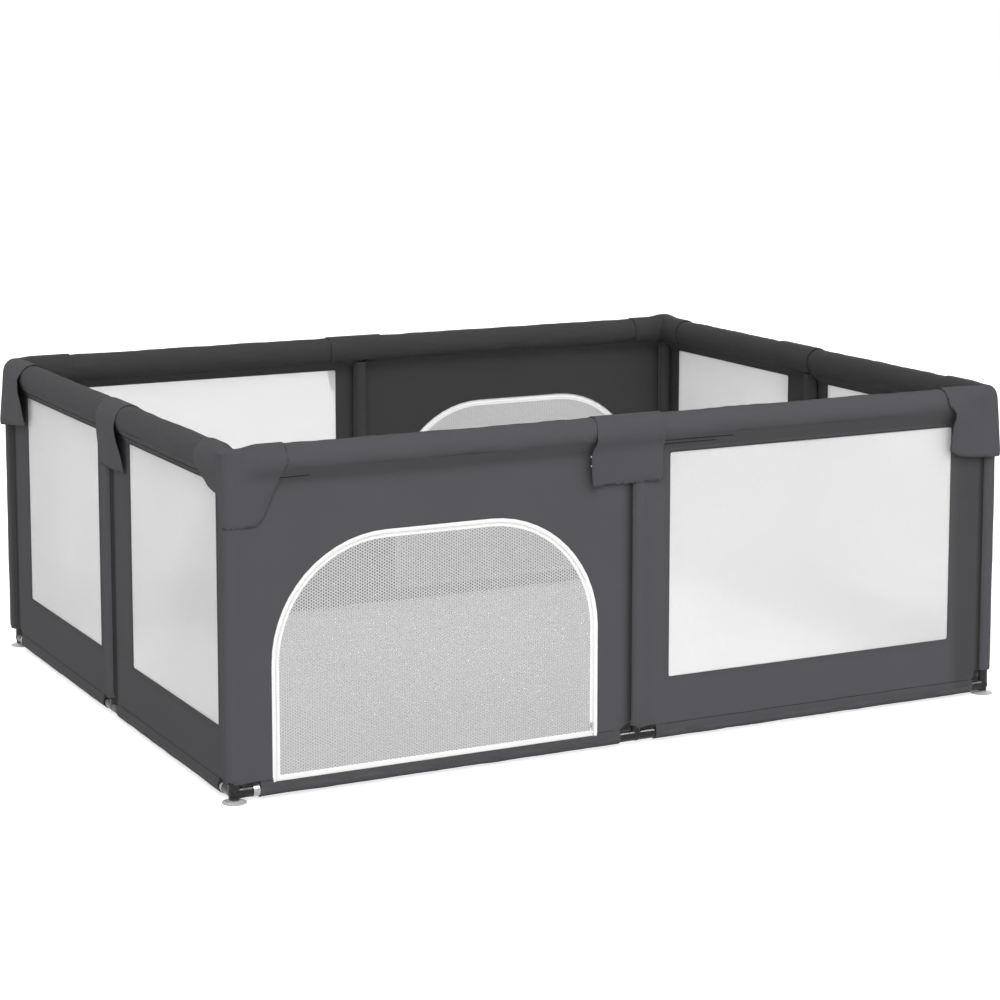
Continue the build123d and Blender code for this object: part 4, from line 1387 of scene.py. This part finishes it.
class PLAYPEN_OT_corner_caps(PlaypenOperator):
    """Makes the cloth caps over the corners"""

    bl_idname = "playpen.corner_caps"
    bl_label = "Corner Caps"

    def make(self):
        for number, (place, shape) in enumerate(CORNERS.items()):
            side, first, second, straight, at_rail, at_foot, starts, sag = shape
            path, normal, along = cap_section(CORNER_LOW[2], straight)
            out, up = path.T
            depth = np.where(out > 0, np.maximum(TOP_Z - up, 0), 0)
            bent = np.interp(depth, [0.0, depth.max()], [at_rail, at_foot])[:, None]
            lean = (np.interp(TOP_Z - up, *LEG_LEAN) * (out > 0))[:, None]
            # across the cap: -2 to -1 along the first leg, to 0 round the bend, to 1 on the second
            leg = np.linspace(1, 0, 40) ** 1.1
            bend = np.linspace(0, 1, 15)[1:-1]
            t = np.concatenate([-leg[:-1] - 1, [-1.0], bend - 1, [0.0], leg[::-1][1:]])[None]
            on_first, on_bend = t <= -1, (t > -1) & (t < 0)
            a = np.where(on_first, -t - 1, np.where(on_bend, 0, t))  # share of the leg's reach
            reaches = [np.interp(depth, *LEGS[kind])[:, None] for kind in (first, second)]
            reach = np.where(on_first, *reaches)
            turn = np.clip(t + 1, 0, 1) * pi / 2
            skirt = ease(0.020, 0.10, depth)[:, None]
            rim = ease(0.0, 0.010, np.minimum(reach * (1 - a), (along[-1] - along)[:, None]))

            def surface(inset):
                """The cap's points, a distance in from its outer face."""
                rho = (out - inset * normal[:, 0])[:, None] + 0 * t
                zz = (up - inset * normal[:, 1])[:, None] + 0 * t
                # the cloth is drawn in to the post where no foam carries it
                hang = bent - inset
                carried = ease(*starts, reach * a)
                over = rho * hang / CAP_RADIUS if straight else np.minimum(rho, hang)
                bend_rho = np.where((depth > 0)[:, None], hang, over)
                rho = np.where(rho > 0, bend_rho + (rho - bend_rho) * carried, rho)
                zz = zz - sag * (1 - carried) * ease(TOP_Z - 0.01, TOP_Z + 0.030, zz)
                # the foot follows the panel on a short leg
                flare = lean * a**2 + skirt * 0.0010 * np.sin(9 * a)
                rho = rho + (flare if straight else skirt * -0.0055 * a)
                if inset == 0:
                    rho = rho - 0.0016 * (1 - rim) * (rho > 0)
                radius = np.maximum(rho, 0.006)
                centre = radius - rho
                x_leg = centre + (reach - centre) * a
                x_bend, y_bend = centre - radius * np.sin(turn), centre - radius * np.cos(turn)
                x = np.where(on_first, x_leg, np.where(on_bend, x_bend, -rho))
                y = np.where(on_first, -rho, np.where(on_bend, y_bend, x_leg))
                fold = 0.0007 * lattice((x - y) / 0.030, along[:, None] / 0.035, 300 + number)
                x = x - fold * (rho > 0) * np.where(on_first, 0, 1)
                y = y - fold * (rho > 0) * np.where(on_first, 1, 0)
                return np.stack([x, y, zz], axis=-1)

            outer, inner = surface(0.0), surface(CAP_WALL)
            across = outer[..., 0] - outer[..., 1]
            cap = cap_cloth("corner_cap_" + place, side, outer, inner, across, along, out)
            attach(cap, "frame")
            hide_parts("corner_cap_" + place)
            self.sew_edges(outer, along, side, place)

    def sew_edges(self, outer, along, side, place):
        """A stitch row just within the lower edge and the two ends."""
        row = int(np.searchsorted(along, along[-1] - CAP_SEAM))
        lines = []
        for line in (outer[row, 1:-1], outer[2 : row + 1, 1], outer[2 : row + 1, -2]):
            flat = np.hypot(line[:, 0], line[:, 1])[:, None]
            away = line[:, :2] * 0.00015 / np.maximum(flat, 0.02)
            lines.append(to_row(np.concatenate([line[:, :2] + away, line[:, 2:]], axis=1), side))
        self.sew("cap_stitches_" + place, lines, "frame", "cap")


class PLAYPEN_OT_middle_caps(PlaypenOperator):
    """Makes the cloth caps over the middle posts, each with its outer flap"""

    bl_idname = "playpen.middle_caps"
    bl_label = "Middle Caps"

    def make(self):
        t = np.sin(np.linspace(-pi / 2, pi / 2, 61))[None]  # across a cap, -1 to 1
        for number, (side, shape) in enumerate(MIDDLE_CAPS.items()):
            corner, lift, drawn_in, stands_off = shape
            leans = side == "left"
            path, normal, along = cap_section(MIDDLE_LOW + lift, leans)
            out, up = path.T
            hanging = (out > 0) & (up < TOP_Z)
            rise = np.clip(up - MIDDLE_LOW, 0, corner)
            rounding = corner - np.sqrt(np.maximum(corner**2 - (corner - rise) ** 2, 0))
            drop = (TOP_Z - up) * hanging
            hang = ease(0.03, 0.10, drop)[:, None]
            below = np.where(out > 0, TOP_Z - up, -0.05)
            off_rail = ease(-0.012, 0.020, below)[:, None]
            start, end = along_side("cap_flap_" + side, side)
            centre, reach = (start + end) / 2, (end - start) / 2
            width = (reach - rounding * hanging)[:, None]
            slack = np.interp(below, *EDGE_SLACK)[:, None]
            narrow = np.interp(drop, [0.0, 0.105], drawn_in)[:, None]
            rim = ease(0.0, 0.009, np.minimum(width * (1 - np.abs(t)), (along[-1] - along)[:, None]))
            lean = np.interp(TOP_Z - up, *FLAP_LEAN)[:, None] * leans

            def surface(inset):
                """The cap's points, a distance in from its outer face."""
                x = centre + (width + np.where(t < 0, slack, narrow) * t**2) * t
                rho = (out - inset * normal[:, 0])[:, None] + 0 * t
                zz = (up - inset * normal[:, 1])[:, None] + 0 * t
                # the flap lies on the post and the panel, its edges curling a little outwards
                curl = 0.0022 * t**4 - 0.0030 * (1 - t**4) * t**2 + 0.0009 * np.sin(5.0 * t + number)
                lie = hang * curl
                lie = lie + off_rail * stands_off * np.maximum(-t, 0) ** 8
                lie = lie + lean * (1 + 0.4 * np.maximum(t, 0) ** 2)
                if leans:
                    near_rail = off_rail * (1 - ease(0.03, 0.09, drop)[:, None])
                    lie = lie + 0.006 * near_rail * np.maximum(t, 0) ** 4
                lie = lie + 0.0006 * lattice(x / 0.028 + 3, along[:, None] / 0.05, 400 + number)
                if inset == 0:
                    lie = lie - 0.0014 * (1 - rim)
                rho = rho + lie * (rho > 0)
                return np.stack([x, -rho, zz], axis=-1)

            outer, inner = surface(0.0), surface(MIDDLE_CAP_WALL)
            name = "middle_cap_" + side
            cap = cap_cloth(name, side, outer, inner, outer[..., 0], along, out)
            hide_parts("middle_caps", "cap_flap_" + side)
            bends = [(centre, -0.022, TOP_Z + 0.0155), (centre, -0.036, TOP_Z + 0.0015)]
            first, last = to_row(bends, side)
            tuple(first)
            tuple(last)
            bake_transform(cap)

            if side == "front":
                self.studs(outer)
            row = int(np.searchsorted(along, along[-1] - CAP_SEAM))
            top = int(np.argmax(hanging)) + 2
            edges = [outer[top:row, 2], outer[top:row, -3], outer[row, 2:-2]]
            lines = [to_row(edge - (0, 0.0002, 0), side) for edge in edges]
            self.sew("flap_stitches_" + side, lines, side + "_flap", "cap")

    def studs(self, outer):
        """Two snap fasteners near the first edge of the front flap."""
        shape = bmesh.new()
        for drop in STUD_DROPS:
            row = int(np.argmin(np.abs(outer[:, 0, 2] - (TOP_Z - drop)) + (outer[:, 0, 1] > 0)))
            x, y, z = to_row(outer[row, 0], "front")
            flat = Matrix.LocRotScale((x - 0.0005, y + 0.0012, z), None, (1.0, 0.6, 1.0))
            ball = dict(u_segments=16, v_segments=10, radius=STUD_RADIUS)
            bmesh.ops.create_uvsphere(shape, matrix=flat, **ball)
        mesh = bpy.data.meshes.new("flap_studs")
        shape.to_mesh(mesh)
        shape.free()
        mesh.shade_smooth()
        mesh.materials.append(material("Plated Steel"))
        studs = new_object("flap_studs", mesh)
        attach(studs, "front_flap")


# ---------------------------------------------------------------- stage
FLOOR_HALF, FLOOR_Z = 30.0, -0.0005
# each sun: strength, spread in degrees, and the way its light goes
KEY = (1.45, 50, (0.20, 0.72, -0.62))
GLINT = (2.4, 20, (-0.45, 0.55, -0.70))
SENSOR, LENS, VERTICAL_SHIFT = 36.0, 94.80, -0.1574
CAMERA_PLACE = (-2.5771, -5.1323, 1.4892)
CAMERA_TURN, CAMERA_DOWN = radians(-27.013), radians(7.50)


def aim(obj, direction):
    obj.rotation_euler = Vector(direction).to_track_quat("-Z", "Y").to_euler()


def background_mask(n):
    """1 where the background itself shows: to the camera, in glossy parts and through clear ones."""
    path = n.add("ShaderNodeLightPath").outputs
    indirect = n.math("MAXIMUM", path["Is Glossy Ray"], path["Is Transmission Ray"])
    return n.math("MAXIMUM", path["Is Camera Ray"], indirect)


class PLAYPEN_OT_stage(PlaypenOperator):
    """Makes the floor, the soft light and the camera"""

    bl_idname = "playpen.stage"
    bl_label = "Stage"

    def floor(self):
        mesh = bpy.data.meshes.new("floor")
        signs = ((-1, -1), (1, -1), (1, 1), (-1, 1))
        corners = [(a * FLOOR_HALF, b * FLOOR_HALF, FLOOR_Z) for a, b in signs]
        mesh.from_pydata(corners, [], [(0, 1, 2, 3)])
        floor = new_object("floor", mesh)
        paper = bpy.data.materials.new("Paper")
        paper.use_nodes = True
        n = Nodes(paper.node_tree)
        grain = n.noise(n.add("ShaderNodeTexCoord").outputs["Object"], 90.0, 3.0)
        tint = n.mix(n.ramp(grain, 0.3, 0.7), rgba((0.80, 0.80, 0.80)), rgba((0.82, 0.82, 0.82)))
        look = {"Base Color": tint, "Roughness": 0.95, "Specular IOR Level": 0.1}
        shader = n.add("ShaderNodeBsdfPrincipled", look)
        strength = n.math("MULTIPLY", background_mask(n), 0.62)
        glow = n.add("ShaderNodeEmission", {"Color": rgba((1, 1, 1)), "Strength": strength})
        both = n.add("ShaderNodeAddShader", {0: shader.outputs[0], 1: glow.outputs[0]})
        n.add("ShaderNodeOutputMaterial", {"Surface": both.outputs[0]})
        mesh.materials.append(paper)
        floor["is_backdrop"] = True

    def sky(self, scene):
        world = bpy.data.worlds.new("Studio")
        scene.world = world
        world.use_nodes = True
        n = Nodes(world.node_tree)
        strength = n.ramp(background_mask(n), 0.0, 1.0, 0.72, 1.0)
        sky = n.add("ShaderNodeBackground", {"Color": rgba((1, 1, 1)), "Strength": strength})
        n.add("ShaderNodeOutputWorld", {"Surface": sky.outputs[0]})

    def sun(self, name, energy, spread, direction):
        light = bpy.data.lights.new(name, "SUN")
        light.energy, light.angle = energy, radians(spread)
        sun = new_object(name, light)
        aim(sun, direction)
        return sun

    def camera(self, scene):
        camera = bpy.data.cameras.new("camera")
        camera.sensor_width, camera.lens, camera.shift_y = SENSOR, LENS, VERTICAL_SHIFT
        camera.clip_end = 100.0
        view = new_object("camera", camera)
        level = cos(CAMERA_DOWN)
        view.location = CAMERA_PLACE
        aim(view, (-sin(CAMERA_TURN) * level, cos(CAMERA_TURN) * level, -sin(CAMERA_DOWN)))
        scene.camera = view

    def make(self):
        scene = bpy.context.scene
        scene.view_settings.view_transform = "Standard"
        self.floor()
        self.sky(scene)
        self.sun("key", *KEY)
        # shines on the plastic and the tubes without lighting the cloth
        self.sun("glint", *GLINT).visible_diffuse = False
        self.camera(scene)


# ---------------------------------------------------------------- panel and registration
OPERATORS = [
    PLAYPEN_OT_finishes,
    PLAYPEN_OT_hardware,
    PLAYPEN_OT_panels,
    PLAYPEN_OT_rail_pads,
    PLAYPEN_OT_windows,
    PLAYPEN_OT_doors,
    PLAYPEN_OT_stitches,
    PLAYPEN_OT_corner_caps,
    PLAYPEN_OT_middle_caps,
    PLAYPEN_OT_stage,
]


class PLAYPEN_PT_panel(bpy.types.Panel):
    """The playpen's pieces, sizes and colours in the sidebar"""

    bl_label = "Playpen"
    bl_idname = "PLAYPEN_PT_panel"
    bl_space_type = "VIEW_3D"
    bl_region_type = "UI"
    bl_category = "Playpen"

    def draw(self, context):
        layout = self.layout
        for group in (context.scene.playpen_sizes, context.scene.playpen_colours):
            box = layout.box()
            for key in group.bl_rna.properties.keys():
                if key not in ("rna_type", "name"):
                    box.prop(group, key)
        for operator in OPERATORS:
            layout.operator(operator.bl_idname)


CLASSES = [PlaypenSizes, PlaypenColours, *OPERATORS, PLAYPEN_PT_panel]


def register():
    for cls in CLASSES:
        bpy.utils.register_class(cls)
    bpy.types.Scene.playpen_sizes = PointerProperty(type=PlaypenSizes)
    bpy.types.Scene.playpen_colours = PointerProperty(type=PlaypenColours)


def unregister():
    del bpy.types.Scene.playpen_colours
    del bpy.types.Scene.playpen_sizes
    for cls in reversed(CLASSES):
        bpy.utils.unregister_class(cls)


def main():
    register()
    for step in (
        bpy.ops.playpen.finishes,
        bpy.ops.playpen.hardware,
        bpy.ops.playpen.panels,
        bpy.ops.playpen.rail_pads,
        bpy.ops.playpen.windows,
        bpy.ops.playpen.doors,
        bpy.ops.playpen.stitches,
        bpy.ops.playpen.corner_caps,
        bpy.ops.playpen.middle_caps,
        bpy.ops.playpen.stage,
    ):
        step()
    plain = lambda box: [[float(v) for v in corner] for corner in box]
    {"cad": plain(cad_box), "visual": plain(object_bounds())}


if __name__ == "__main__":
    main()
